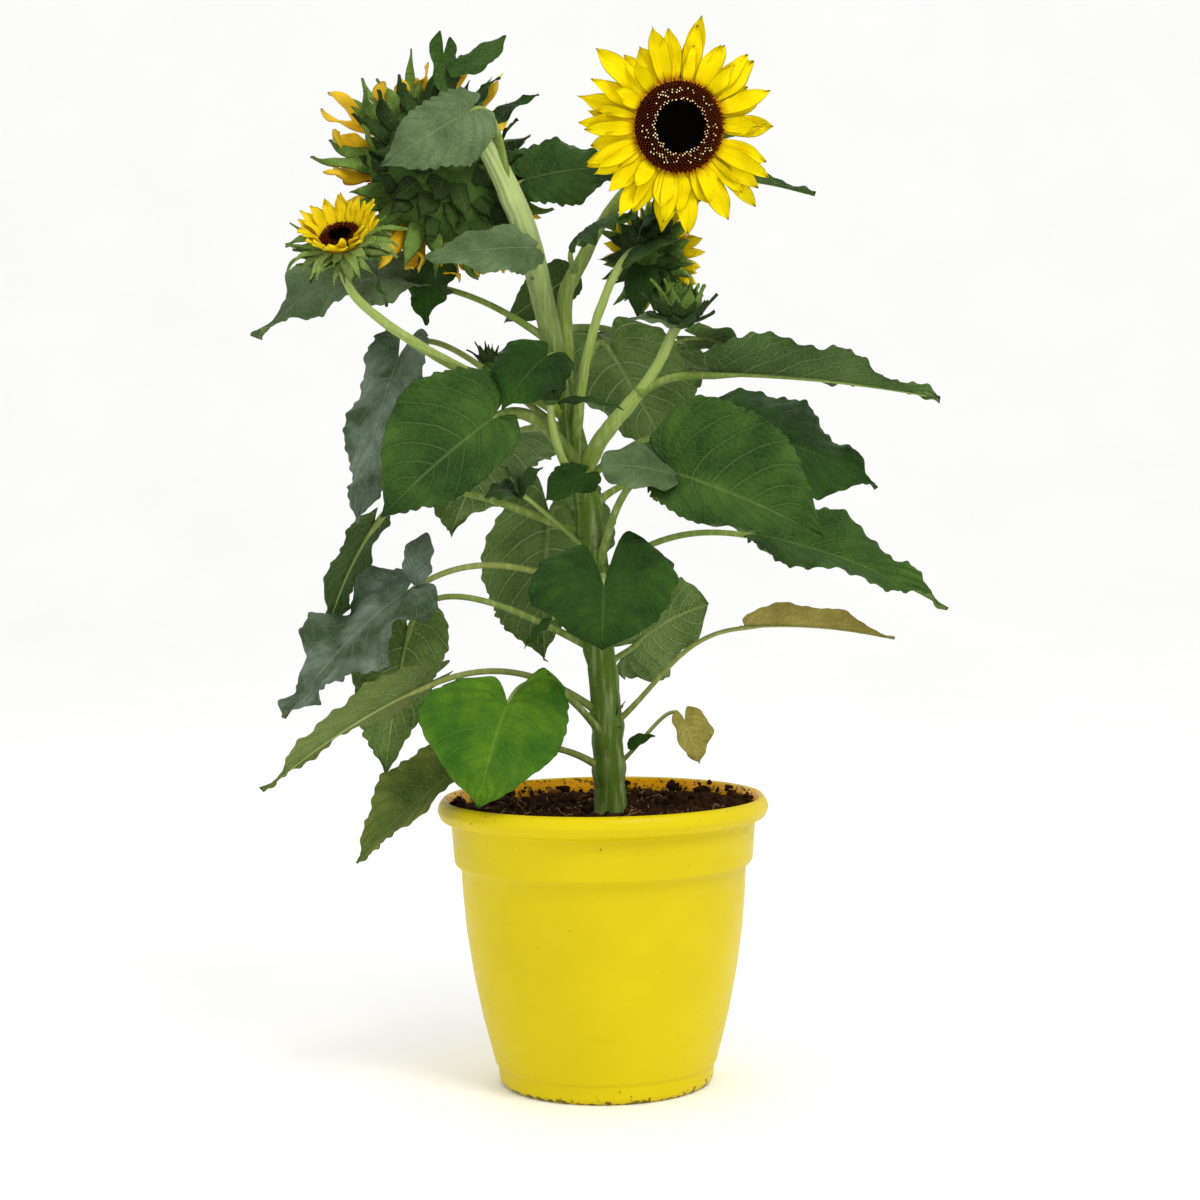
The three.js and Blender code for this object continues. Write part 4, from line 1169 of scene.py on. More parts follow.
@dataclass
class Leaf:
    """One leaf on its stalk, placed by its foot on a limb and by its blade's base and tip, in millimetres.

    bow lifts the blade's middle, roll turns it about its midrib, fold lifts its halves into a V, and lobe is
    how far its ears reach back past the base, as a share of its length. halves and ears make one side smaller
    than the other, point is how drawn out the tip is, ruffle is the share of its habit's waves and teeth, and
    parts are further blades that grow from the same stalk.
    """

    base: Point
    tip: Point
    width: float
    foot: float = 0.0  # the height at which it leaves its limb
    limb: str = MAIN
    rise: float = 40.0  # degrees that the stalk climbs there
    stalk: float = 2.8  # the stalk's radius
    bow: float = 0.0
    roll: float = 0.0  # degrees
    fold: float = 0.0  # degrees
    lobe: float = 0.2
    habit: Habit = Habit.FRESH
    halves: tuple[float, float] = (1.0, 1.0)
    ears: tuple[float, float] = (1.0, 1.0)
    point: float = 1.25
    ruffle: float = 1.0
    parts: list["Leaf"] = field(default_factory=list)
    side_veins: float = 8.0  # on each half
    rows: int = 104
    columns: int = 11  # points across one half

    def lay(self, outward: Array) -> None:
        """Works out the blade's length, its sideways direction and its midrib.

        Args:
            outward: the level direction from the limb to the blade.
        """
        start, end = np.array(self.base, dtype=float), np.array(self.tip, dtype=float)
        self.length = float(np.linalg.norm(end - start))
        chord = unit(end - start)
        side = np.cross(UP, outward)
        side = unit(side - chord * (side @ chord))
        self.side = turn_about(side, chord, self.roll)
        face = np.cross(chord, self.side)
        self.midrib = Path(bezier([start, (start + end) / 2 + 2 * self.bow * face, end]))

    def blade(self, skin: Skin, rng: np.random.Generator) -> None:
        """Adds the blade: a heart-shaped sheet with toothed, waving margins, swollen between its side veins.

        A point at share u along and v across lies on the midrib at u, minus the ear's reach along it, plus v
        times the half-width sideways, plus |v| times the fold and the waves along the normal. The two faces
        are half a thickness either side and meet at the margin.

        Args:
            skin: the piece that the blade joins.
            rng: the source of chance.
        """
        growth = GROWTHS[self.habit]
        scale = min(1.0, self.width / 80) * self.ruffle
        u = (np.linspace(0, 1, self.rows) ** 1.1)[:, None]
        inner = 1 - (1 - np.linspace(0, 1, self.columns)) ** 1.7
        v = np.concatenate([-inner[:0:-1], inner])[None]
        reach = np.abs(v)
        hand = np.where(v < 0, 0, 1)  # which half a point is on
        phase = rng.uniform(0, FULL_TURN, (6, 2))
        along, side = self.midrib.along(u[:, 0])[:, None], self.side
        normal = np.cross(along, side)
        half = self.width / 2 * leaf_outline(u, self.point) * (1 - 0.34 * np.exp(-u / 0.03))
        half = half * (1 + 0.06 * np.sin(5.3 * u + phase[0][hand]) + 0.04 * np.sin(11 * u + phase[1][hand]))
        half = half * np.array(self.halves)[hand]
        teeth = max(5.0, self.length / 6.6)
        run = u**0.9 * teeth + phase[2][hand] + 0.3 * np.sin(9 * u + phase[3][hand])
        step = np.mod(run, 1)  # along one tooth, which rises slowly and drops fast
        tooth = np.where(step < 0.7, np.sin(np.pi / 2 * step / 0.7), (1 - step) / 0.3) - 0.5
        ragged = np.minimum(1, (1 - u) * 5) * (0.7 + 0.4 * np.sin(7 * u + phase[4][hand]))
        edge = growth.teeth * scale * tooth * reach**4 * ragged * (1 + 1.6 * np.exp(-u / 0.05))
        ear = self.lobe * self.length * np.sin(2.1 * reach) * (1 - u) ** 3 * np.array(self.ears)[hand]
        slope = 0.34 * reach  # side veins run forward as they go out
        count = np.where(u > slope, u - slope, 0.3 * (u / np.maximum(slope, 1e-3) - 1)) * self.side_veins
        swell = growth.quilt * scale * np.sin(np.pi * np.mod(count, 1)) ** 2 * np.sqrt(reach) * (1 - reach**6)
        waves = FULL_TURN * (2.1 + 0.8 * phase[5][hand] / 6) * u + phase[0][hand]
        wave = growth.wave * scale * reach**2.4 * np.sin(waves)
        wave = wave + 0.5 * growth.teeth * scale * reach**6 * np.sin(np.pi * run)
        x, y = u * self.length, v * half
        crumple = growth.crumple * scale * ripples(rng, x, y, 34) * (0.04 + reach) * np.minimum(1, u * 6)
        groove = -0.9 * scale * np.exp(-((reach / 0.09) ** 2))  # the midrib lies sunk
        angle = math.radians(self.fold)
        soft = np.sqrt(reach**2 + 0.012) - math.sqrt(0.012)  # |v| without its kink
        lift = soft * half * math.sin(angle) + swell + wave + crumple + groove
        middle = (
            self.midrib.at(u[:, 0])[:, None]
            - along * ear[..., None]
            + side * (v * (half * math.cos(angle) + edge))[..., None]
            + normal * lift[..., None]
        )
        shell = 0.24 * np.minimum(1, u * 60) * (1 - reach**8) * np.minimum(1, (1 - u) * 40)
        place = np.stack(np.broadcast_arrays(count, v), axis=-1)
        metric = np.stack(np.broadcast_arrays(x, y), axis=-1) * MM
        skin.sheet(middle + normal * shell[..., None], growth.upper, place, metric)
        skin.sheet(middle - normal * shell[..., None], growth.under, place, metric)

    def petiole(self, skin: Skin, root: Array, outward: Array) -> None:
        """Adds the stalk, from inside its limb to the blade, running on under the blade as the midrib.

        Args:
            skin: the piece that the stalk joins.
            root: the point on the limb's centre line.
            outward: the level direction from the limb to the blade.
        """
        base = np.array(self.base, dtype=float)
        reach = float(np.linalg.norm(base - root)) * 0.4
        rise = math.radians(self.rise)
        away = outward * math.cos(rise) + UP * math.sin(rise)
        share = np.linspace(0, 0.94, 40)
        rib = np.interp(share, [0, 0.12, 0.5, 1], [0.8, 0.42, 0.26, 0.1]) * self.stalk
        below = rib + 0.9 * min(1.0, self.width / 80)
        under = -np.cross(self.midrib.along(share), self.side) * below[:, None]
        rear = base + under[0]
        arc = bezier([root, root + away * reach, rear - self.midrib.along(0.0) * reach, rear])
        path = Path(np.vstack([arc[:-1], self.midrib.at(share) + under]))
        ratio = Path(arc).length / path.length
        stalk = [(0, self.stalk * 1.5), (0.1 * ratio, self.stalk * 1.25), (0.3 * ratio, self.stalk)]
        radii = np.vstack([stalk, np.stack([ratio + share / share[-1] * (1 - ratio), rib], axis=1)])
        rows = np.linspace(0, 1, max(24, int(path.length / 3)))
        turn = np.linspace(0, FULL_TURN, 15)[None]
        channel = 0.1 * self.stalk * np.cos(2 * turn) * np.clip(1 - ends(rows)[:, None] / ratio, 0, 1)
        across = unit(np.cross(UP, outward) + 0.2 * self.side)
        rings = tube_rings(path, radii, rows, across, 14, channel)
        skin.tube(rings, GROWTHS[self.habit].stalk, 6.28 * self.stalk, ends(rows))

    def heading(self, framework: Framework | None = None) -> Array:
        """Finds the level direction in which the leaf grows.

        Args:
            framework: the limbs, or None for a leaf without a limb.

        Returns:
            The direction from its limb to its base, or without a limb from its base to its tip.
        """
        start = framework.paths[self.limb].height(self.foot) if framework else np.array(self.base)
        return unit((np.array(self.base if framework else self.tip) - start) * (1, 1, 0))

    def loose(self, skin: Skin, seed: int) -> None:
        """Adds the blade alone to a piece, as a small leaf of fewer faces.

        Args:
            skin: the piece.
            seed: sets this leaf's small differences.
        """
        self.rows, self.columns = 70, 9
        self.lay(self.heading())
        self.blade(skin, np.random.default_rng(seed))

    def build(self, name: str, framework: Framework, seed: int) -> None:
        """Makes the leaf as one piece that stands for its CAD node.

        Args:
            name: the CAD node's name.
            framework: the limbs.
            seed: sets this leaf's small differences.
        """
        root = framework.paths[self.limb].height(self.foot)
        outward = self.heading(framework)
        self.lay(outward)
        skin = Skin(name.replace("leaf_", "blade_"))
        self.blade(skin, np.random.default_rng(seed))
        self.petiole(skin, root, outward)
        for i, part in enumerate(self.parts):
            part.loose(skin, seed + 50 + i)
        skin.piece(GROWTHS[self.habit].slot, name)


FRONT, BUD = "branch_front_flower", "branch_right_bud"

LEAVES: dict[str, Leaf] = {
    # Low on the stem
    "leaf_left_lowest": Leaf(
        (-109, -35, 252), (-188, -62, 184), 66, 240, roll=-34, fold=32, bow=6, habit=Habit.OLIVE,
    ),
    "leaf_front_heart": Leaf(
        (-70, -86, 306), (-92, -106, 230), 116, 262, rise=50, bow=8, roll=-30, lobe=0.34,
        halves=(1.0, 0.88), ears=(0.7, 1.3), habit=Habit.YOUNG,
    ),
    "leaf_left_low": Leaf(
        (-139, -35, 316), (-258, -60, 239), 64, 284, roll=34, fold=14, bow=6, point=1.5, habit=Habit.OLIVE,
    ),
    "leaf_left_mid": Leaf((-152, 15, 357), (-174, 30, 240), 78, 335, rise=28, roll=60, fold=10, bow=5),
    "leaf_right_withered": Leaf(
        (113, 0, 357), (232, 12, 344), 40, 275, rise=38, stalk=2.2, roll=-30, fold=32, bow=5, lobe=0.02,
        habit=Habit.WITHERED,
        parts=[Leaf((12, -6, 282), (19, -9, 300), 8, bow=2, lobe=0)],
    ),
    "leaf_right_shrivelled": Leaf(
        (65, -5, 283), (76, -9, 250), 38, 244, rise=30, stalk=1.8, roll=48, fold=20, lobe=0.3,
        habit=Habit.WITHERED,
        parts=[Leaf((20, -8, 264), (42, -9, 272), 13, bow=3, roll=40, lobe=0, habit=Habit.DEEP)],
    ),
    "leaf_right_low_back": Leaf(
        (26, 42, 342), (88, 62, 372), 104, 312, rise=66, roll=-75, bow=5, lobe=0.3, point=0.85,
    ),
    # Middle of the stem
    "leaf_front_low_heart": Leaf(
        (3, -100, 394), (1, -127, 347), 110, 358, rise=25, bow=6, lobe=0.98, fold=8, ears=(0.86, 1.16),
        habit=Habit.DEEP,
    ),
    "leaf_left_blue": Leaf(
        (-150, -20, 389), (-244, -34, 292), 80, 386, rise=20, roll=-36, bow=8, lobe=0.14, habit=Habit.LIMP,
        parts=[
            Leaf((-143, -22, 393), (-133, -24, 434), 24, bow=5, roll=80, lobe=0, point=0.7,
                habit=Habit.LIMP)
        ],
    ),
    "leaf_left_upper": Leaf(
        (-176, 6, 443), (-218, 12, 350), 52, 428, rise=15, stalk=3.4, roll=24, bow=5, lobe=0.12,
        habit=Habit.DEEP,
    ),
    "leaf_back_left": Leaf((-40, 45, 448), (-47, 88, 326), 128, 424, rise=50, bow=4, lobe=0.3),
    "leaf_right_long_low": Leaf(
        (122, -22, 429), (267, -38, 370), 78, 392, roll=34, bow=9, fold=18, lobe=0.04, point=1.45,
    ),
    "leaf_right_heart": Leaf(
        (57, -62, 477), (168, -80, 427), 132, 388, rise=70, stalk=3.2, roll=60, bow=14, lobe=0.3, fold=18,
        halves=(0.46, 0.96), ears=(0.5, 0.8),
        parts=[
            Leaf((58, -66, 474), (2, -70, 482), 62, bow=4, roll=-34, lobe=0.04, point=0.55, ruffle=0.3,
                habit=Habit.DUSTY)
        ],
    ),
    "leaf_right_behind": Leaf(
        (112, 30, 512), (224, 45, 464), 114, 470, roll=50, bow=8, fold=-8, point=1.4, habit=Habit.DEEP,
    ),
    "leaf_centre_small": Leaf(
        (-10, -26, 478), (-41, -46, 456), 34, 470, rise=10, stalk=1.8, bow=3, habit=Habit.DEEP,
    ),
    "leaf_left_centre": Leaf(
        (-80, -46, 520), (-165, -62, 446), 112, 478, rise=50, stalk=5.5, roll=-52, bow=8, fold=14,
        lobe=0.26, halves=(1.0, 0.68), ears=(1.2, 0.5),
    ),
    "leaf_left_hanging": Leaf(
        (-156, 12, 570), (-184, -34, 440), 62, 505, rise=35, roll=-62, bow=8, lobe=0.22, habit=Habit.LIMP,
    ),
    "leaf_stem_spur": Leaf(
        (-38, -22, 366), (-59, -26, 343), 15, 356, rise=20, stalk=1.4, bow=2, lobe=0, habit=Habit.DEEP,
    ),
    # Top of the stem and the branches
    "leaf_left_top": Leaf(
        (-146, 8, 632), (-265, 16, 587), 84, 577, rise=36, roll=-46, bow=24, fold=-2, lobe=0.36,
        halves=(0.8, 0.6), ears=(0.4, 0.8), habit=Habit.DUSTY,
        parts=[Leaf((-126, 2, 645), (-132, -8, 594), 44, bow=3, lobe=0.1, habit=Habit.DEEP)],
    ),
    "leaf_dark_front": Leaf(
        (-38, -34, 568), (-72, -52, 526), 62, 556, rise=10, stalk=2.2, bow=5, habit=Habit.DEEP,
    ),
    "leaf_over_head": Leaf(
        (-93, -50, 752), (-161, -66, 708), 66, 688, rise=58, stalk=3.2, roll=-58, bow=6, fold=-10,
        halves=(0.72, 0.96), habit=Habit.DUSTY,
    ),
    "leaf_neck_front": Leaf(
        (-46, -27, 651), (-129, -62, 640), 42, 640, rise=10, stalk=2, roll=-46, bow=5, fold=-8, lobe=0.06,
        habit=Habit.DUSTY,
    ),
    "leaf_neck_right": Leaf(
        (-54, 14, 709), (24, 34, 720), 64, 694, rise=20, stalk=2.2, roll=48, bow=5, lobe=0.12,
    ),
    "leaf_neck_back": Leaf(
        (-19, 42, 636), (-74, 56, 600), 38, 612, FRONT, rise=30, stalk=1.8, roll=-20, bow=3, lobe=0.08,
        habit=Habit.DEEP,
    ),
    "leaf_fork_front": Leaf(
        (-14, -25, 659), (33, -41, 674), 70, 634, FRONT, rise=20, stalk=2.2, roll=50, fold=-16, bow=6,
        lobe=0.16, habit=Habit.DEEP,
    ),
    "leaf_behind_flower": Leaf(
        (76, 28, 712), (175, 38, 696), 46, 628, FRONT, rise=60, stalk=2.4, roll=12, bow=4, fold=14,
        habit=Habit.DEEP,
    ),
    "leaf_back_right": Leaf((12, 36, 578), (64, 82, 487), 124, 518, rise=60, roll=-6, lobe=0.22),
    "leaf_under_bud": Leaf(
        (78, -20, 582), (120, -8, 562), 44, 572, BUD, rise=30, stalk=1.6, roll=-20, bow=5, lobe=0.3,
    ),
    "leaf_right_top": Leaf(
        (90, -20, 555), (267, -6, 533), 84, 538, BUD, rise=35, stalk=3.6, roll=-18, fold=26, bow=4,
        lobe=0.1, point=1.6, habit=Habit.DEEP,
    ),
    # Round the back
    "leaf_back_far_left": Leaf((-78, 84, 508), (-128, 178, 430), 112, 492, roll=10, bow=8),
    "leaf_back_far_right": Leaf((84, 84, 470), (150, 186, 412), 116, 446, roll=-8, bow=8),
    "leaf_back_high": Leaf((34, 96, 588), (62, 184, 534), 104, 590, FRONT, rise=10, bow=8),
    "leaf_back_flower": Leaf((58, 62, 738), (82, 132, 700), 74, 690, FRONT, rise=50, stalk=2, bow=5),
    "leaf_back_low": Leaf((24, 115, 392), (26, 190, 334), 84, 372, rise=50, bow=6, habit=Habit.DEEP),
}  # fmt: skip


@dataclass
class Shoot:
    """A short side shoot that carries a few small leaves."""

    foot: float = 412  # the height at which it leaves the stem
    tip: Point = (-63, -27, 465)
    stalk: float = 2.0  # the stalk's radius

    def build(self, framework: Framework) -> None:
        """Makes the shoot's stalk and its leaves as one piece.

        Args:
            framework: the limbs.
        """
        root, end = framework.paths[MAIN].height(self.foot), np.array(self.tip, dtype=float)
        path = Path(bezier([root, (root + end) / 2 + (0, 0, 4), end]))
        share = np.linspace(0, 1, 30)
        skin = Skin("small_shoot")
        radii = np.array([(0, self.stalk * 1.3), (0.2, self.stalk), (1, self.stalk * 0.8)])
        skin.tube(tube_rings(path, radii, share, FORWARD, 12), GREEN_STALK, 12, ends(share))
        leaves = (
            Leaf((-62, -28, 464), (-42, -36, 482), 22, bow=3, roll=50, lobe=0.1),
            Leaf((-62, -27, 464), (-88, -26, 460), 30, bow=5, roll=-30, lobe=0.1),
            Leaf((-61, -27, 462), (-74, -32, 484), 20, bow=3, roll=-30, lobe=0.1),
        )
        for i, leaf in enumerate(leaves):
            leaf.loose(skin, 70 + i)
        skin.piece("leaf", "shoot_left_small")


# ---------------------------------------------------------------- flower heads


class Outline(Enum):
    """The outline of a blade in a whorl."""

    PETAL = "petal"
    BRACT = "bract"
    SPIKE = "spike"

    def half_width(self, share: Array) -> Array:
        """Half-width of the blade: a petal swells past its middle, a bract runs out to a long point.

        Args:
            share: shares from root to tip.

        Returns:
            The half-width as a share of the largest.
        """
        if self is Outline.PETAL:
            swell = 0.52 + 0.48 * np.sin(np.pi * (0.9 * share) ** 0.95)
            return swell * (1 - share**5.6)
        if self is Outline.SPIKE:
            return (1 + 2.4 * share) * np.clip(1 - share, 0, 1) ** 1.9
        return (0.9 + 2 * share) * np.clip(1 - share, 0, 1) ** 1.35


BRACT_VEINS = 5.0  # side veins on a bract


@dataclass
class Whorl:
    """A ring of blades round a head, each blade a thin shell that curves away from the head's plane."""

    count: int
    length: float
    width: float
    lift: float  # degrees that a blade rises from the head's plane at its root
    curl: float = 0.0  # degrees that it bends back by its tip
    uneven: float = 0.12  # how much the blades differ
    twist: float = 10.0  # degrees about its midrib by its tip, for a usual blade
    outline: Outline = Outline.PETAL
    seat: float = 1.0  # where the blades are rooted, as a share of the disc's radius
    sink: float = 0.0  # how far behind the disc, as a share of the cup's depth
    cup: float = 0.12  # how far its margins rise, as a share of its width
    flutter: float = 0.05  # how much it waves

    def blades(self, rng: np.random.Generator, radius: float, height: float) -> tuple[Array, ...]:
        """The two faces of every blade about +Z.

        A blade leaves the head at its radius and rises at lift minus curl times the share along it. Its place
        is the running sum of that slope, plus v times its half-width sideways, cupped by v squared.

        Args:
            rng: the source of chance.
            radius: where the blades are rooted, in millimetres.
            height: the height of their roots.

        Returns:
            The upper face, the lower face, and each point's share along and across.
        """
        chance = rng.normal(size=(6, self.count, 1, 1)).clip(-2, 2)
        turn = FULL_TURN * (np.arange(self.count)[:, None, None] + 0.14 * chance[0]) / self.count
        s = np.linspace(0, 1, 22)[:, None]
        v = np.linspace(-1, 1, 9)[None]
        length = self.length * (1 + self.uneven * chance[1])
        width = self.width * (1 + 0.5 * self.uneven * chance[2])
        slope = np.radians(
            self.lift
            + 45 * self.uneven * chance[3]
            - self.curl * (1 + 0.5 * chance[4]) * s
            + self.flutter * 400 * np.sin(5 * s + 3 * chance[5]) * s
        )
        pace = length / (s.size - 1)
        out = radius + (np.cumsum(np.cos(slope), axis=1) - np.cos(slope[:, :1])) * pace
        up = height + (np.cumsum(np.sin(slope), axis=1) - np.sin(slope[:, :1])) * pace
        half = width / 2 * self.outline.half_width(s)
        tilt = np.radians(self.twist) * chance[4] * s + self.flutter * 6 * np.sin(9 * s + 5 * chance[2]) * s
        across = v * half
        rise = self.cup * width * v**2 * (0.4 + s) + across * np.sin(tilt)
        if self.outline is Outline.PETAL:  # three shallow furrows along it
            rise = rise - 0.035 * width * np.cos(3 * np.pi * v) * np.minimum(1, 4 * s)
        shell = 0.28 * (1 - v**6) * np.minimum(1, (1 - s) * 20) * np.minimum(1, 0.2 + s * 8)
        cos, sin, wide = np.cos(turn), np.sin(turn), across * np.cos(tilt)
        faces = []
        for lifted in (rise + shell, rise - shell):
            far = out - np.sin(slope) * lifted
            high = up + np.cos(slope) * lifted
            faces.append(np.stack([far * cos - wide * sin, far * sin + wide * cos, high], axis=-1))
        return *faces, np.stack(np.broadcast_arrays(s, v), axis=-1)


@dataclass
class Head:
    """A flower head that faces along an azimuth and a tilt: its cup and bracts, its petals and its disc."""

    centre: Point
    azimuth: float  # degrees from +X towards +Y
    tilt: float  # degrees above the level
    disc: float  # the disc's radius
    dome: float  # how high the disc swells
    depth: float  # how far back the cup reaches
    petals: list[Whorl]
    bracts: list[Whorl]
    florets: int = 260
    petal: PetalTissue = PETAL
    pollen_shows: bool = False
    spent: bool = False
    dark: bool = False  # whether the bracts behind the two front rows are painted darker, as painted shade
    pale: bool = False  # whether those of the two front rows are young
    leafy: list[Leaf] = field(default_factory=list)  # small leaves among the bracts
    seed: int = 5

    def __post_init__(self) -> None:
        """Works out the turn that faces the head, as the columns side, top and normal."""
        azimuth, tilt = math.radians(self.azimuth), math.radians(self.tilt)
        level = math.cos(tilt)
        normal = np.array([math.cos(azimuth) * level, math.sin(azimuth) * level, math.sin(tilt)])
        side = unit(np.cross(UP, normal))
        self.turn = np.stack([side, np.cross(normal, side), normal], axis=1)

    def face(self, points: Array) -> Array:
        """Points about +Z, turned to face as the head does."""
        return points @ self.turn.T + np.array(self.centre)

    def add_whorls(
        self, skin: Skin, whorls: list[Whorl], finishes: tuple[Finish, Finish], rng: np.random.Generator
    ) -> None:
        """Adds whorls of blades to a piece, rooted on circles about the head's axis.

        Args:
            skin: the piece.
            whorls: the whorls, in the order in which chance is drawn for them.
            finishes: what their upper and their lower faces wear.
            rng: the source of chance.
        """
        for whorl in whorls:
            *sides, place = whorl.blades(rng, whorl.seat * self.disc, 1 - whorl.sink * self.depth)
            metric = place * (whorl.length * MM, whorl.width / 2 * MM)
            veined = place if whorl.outline is Outline.PETAL else place * (BRACT_VEINS, 1.0)
            for side, finish in zip(sides, finishes):
                skin.sheet(self.face(side), finish, veined, metric)

    def dome_height(self, radius: Array) -> Array:
        """Works out the disc's top: a shallow dome with a hollow middle, over the ring of the petals.

        Args:
            radius: distances from the axis, in millimetres.

        Returns:
            The heights there.
        """
        share = radius / self.disc
        rim = np.sqrt(np.clip(1 - share**6, 0, 1))
        return 1.6 + self.dome * (0.55 + 0.45 * np.sin(np.pi * np.clip(share, 0, 1) ** 1.5)) * rim

    def calyx(self, name: str, rng: np.random.Generator) -> None:
        """Makes the green cup behind the head with its bracts.

        Args:
            name: the start of the piece's name.
            rng: the source of chance.
        """
        skin = Skin(f"{name}_bracts")
        d, h = self.disc, self.depth
        back = [(0, -h), (0.34 * d, -0.97 * h), (0.7 * d, -0.78 * h), (0.97 * d, -0.38 * h)]
        profile = rounded([*back, (1.03 * d, -0.5), (0.9 * d, 0.6), (0, 0.6)], 0.24 * d, 7)
        skin.tube(self.face(turned(profile, 48)), CUP, 6 * d)
        self.add_whorls(skin, self.bracts[:2], PALE_BRACT if self.pale else GREEN_BRACT, rng)
        self.add_whorls(skin, self.bracts[2:], PAINTED_SHADE_BRACT if self.dark else GREEN_BRACT, rng)
        for i, leaf in enumerate(self.leafy):
            leaf.loose(skin, self.seed * 10 + i)
        skin.piece("bract", f"{name}_calyx")

    def rays(self, name: str, rng: np.random.Generator) -> None:
        """Makes the ring of petals.

        Args:
            name: the start of the piece's name.
            rng: the source of chance.
        """
        skin = Skin(f"{name}_petals")
        d = self.disc
        ring = np.array([(0.8 * d, 0.7), (1.02 * d, 0.7), (1.02 * d, 1.6), (0.8 * d, 1.6), (0.8 * d, 0.7)])
        skin.tube(self.face(turned(ring, 48)), self.petal, 6 * d, np.zeros(len(ring)))
        self.add_whorls(skin, self.petals, (self.petal, self.petal), rng)
        skin.piece("petal_dry" if self.spent else "petal", f"{name}_rays")

    def florets_disc(self, name: str, rng: np.random.Generator) -> None:
        """Makes the disc: its dome, with florets on a golden-angle spiral and pollen on those that are open.

        Args:
            name: the start of the piece's name.
            rng: the source of chance.
        """
        skin = Skin(f"{name}_florets")
        edge = 0.97 * self.disc
        radius = np.linspace(0, edge, 24)
        top = np.stack([radius, self.dome_height(radius)], axis=1)
        skin.tube(self.face(turned(np.vstack([top, [(edge, 1.5), (0, 1.5)]]), 48)), FLORET_BUD, 200)
        order = np.arange(self.florets)
        share = np.sqrt((order + 0.5) / self.florets)
        reach, angle = 0.95 * self.disc * share, order * GOLDEN_ANGLE
        spacing = self.disc * math.sqrt(math.pi / self.florets)
        tall = spacing * np.interp(share, [0, 0.46, 0.58, 0.8, 1], [0.5, 0.7, 1.5, 1.7, 1.3])
        tall = tall * rng.uniform(0.8, 1.2, self.florets)
        broad = np.full_like(tall, spacing)
        column = np.array([(0.0, -0.3), (0.34, -0.2), (0.3, 0.45), (0.42, 0.85), (0.3, 1.0), (0.0, 0.9)])
        shape = turned(column, 6)[None] * np.stack([broad, broad, tall], axis=-1)[:, None, None]
        lean = np.interp(share, [0, 0.5, 1], [-0.2, 0.1, 0.75])[:, None, None]  # inward, then outward
        out = reach[:, None, None] + shape[..., 0] + lean * shape[..., 2]
        x = out * np.cos(angle)[:, None, None] - shape[..., 1] * np.sin(angle)[:, None, None]
        y = out * np.sin(angle)[:, None, None] + shape[..., 1] * np.cos(angle)[:, None, None]
        z = self.dome_height(reach)[:, None, None] + shape[..., 2]
        florets = self.face(np.stack([x, y, z], axis=-1))
        if self.spent:
            skin.tube(florets, FLORET_SPENT, 4)
        else:
            for low, high, finish in ((0, 0.57, FLORET_BUD), (0.57, 0.9, FLORET_OPEN), (0.9, 2, FLORET_EDGE)):
                skin.tube(florets[(share >= low) & (share < high)], finish, 4)
            if self.pollen_shows:
                self.pollen(skin, florets[:, 4].mean(axis=1), share, spacing, rng)
        skin.piece("disc", f"{name}_disc")

    def pollen(self, skin: Skin, tips: Array, share: Array, spacing: float, rng: np.random.Generator) -> None:
        """Adds pale grains of pollen on the tips of the florets that are open, in broken rings.

        Args:
            skin: the piece.
            tips: where the florets end.
            share: how far out each floret stands, as a share of the disc.
            spacing: millimetres between florets.
            rng: the source of chance.
        """
        ring = np.exp(-(((share - 0.6) / 0.035) ** 2)) + 0.45 * np.exp(-(((share - 0.77) / 0.055) ** 2))
        chosen = tips[rng.uniform(size=len(share)) < ring]
        ball = turned(BALL, 8) * 0.27 * spacing
        size = rng.uniform(0.7, 1.3, (len(chosen), 1, 1, 1))
        grains = (ball[None] * size) @ self.turn.T + chosen[:, None, None] + self.turn[:, 2] * 0.25 * spacing
        skin.tube(grains, POLLEN, 2)

    def build(self, name: str) -> None:
        """Makes the three pieces of the head.

        Args:
            name: the start of its CAD nodes' names.
        """
        rng = np.random.default_rng(self.seed)
        self.calyx(name, rng)
        self.rays(name, rng)
        self.florets_disc(name, rng)


def mantle(length: float, width: float, count: int, lift: float = 6.0, curl: float = 10.0) -> list[Whorl]:
    """Bracts that clothe a head's cup from the rim down to the stalk: rows that get fewer, wider and flatter.

    Args:
        length: the length of the longest bracts, in millimetres.
        width: their width.
        count: how many stand in the row at the rim.
        lift: how far the rim's row stands up towards the disc, in degrees.
        curl: how far each bract bends back along its length, in degrees.

    Returns:
        The whorls, from the rim down.
    """
    rows = (
        (0.97, 0.1, 1.0, 0),
        (0.93, 0.32, 0.96, -16),
        (0.84, 0.58, 0.86, -10),
        (0.62, 0.84, 0.76, 2),
        (0.36, 1.0, 0.66, 6),
    )
    return [
        Whorl(max(5, round(count * seat)), length * size, width * (1.9 - size), lift + drop,
              curl + 40 * (1 - size), uneven=0.16, twist=16, seat=seat, sink=sink,
              outline=Outline.BRACT, cup=0.16, flutter=0.09)
        for seat, sink, size, drop in rows
    ]  # fmt: skip


def spikes(flutter: float, twist: float, *rows: tuple[float, ...]) -> list[Whorl]:
    """Rings of narrow pointed bracts that wrap a bud.

    Args:
        flutter: how much the bracts wave.
        twist: how far they turn about their midribs, in degrees.
        rows: count, length, width, lift, curl, seat, sink and unevenness of each ring.

    Returns:
        The whorls, in the order of the rows.
    """
    return [
        Whorl(*row[:5], seat=row[5], sink=row[6], uneven=row[7], outline=Outline.SPIKE,
              flutter=flutter, twist=twist)
        for row in rows
    ]  # fmt: skip


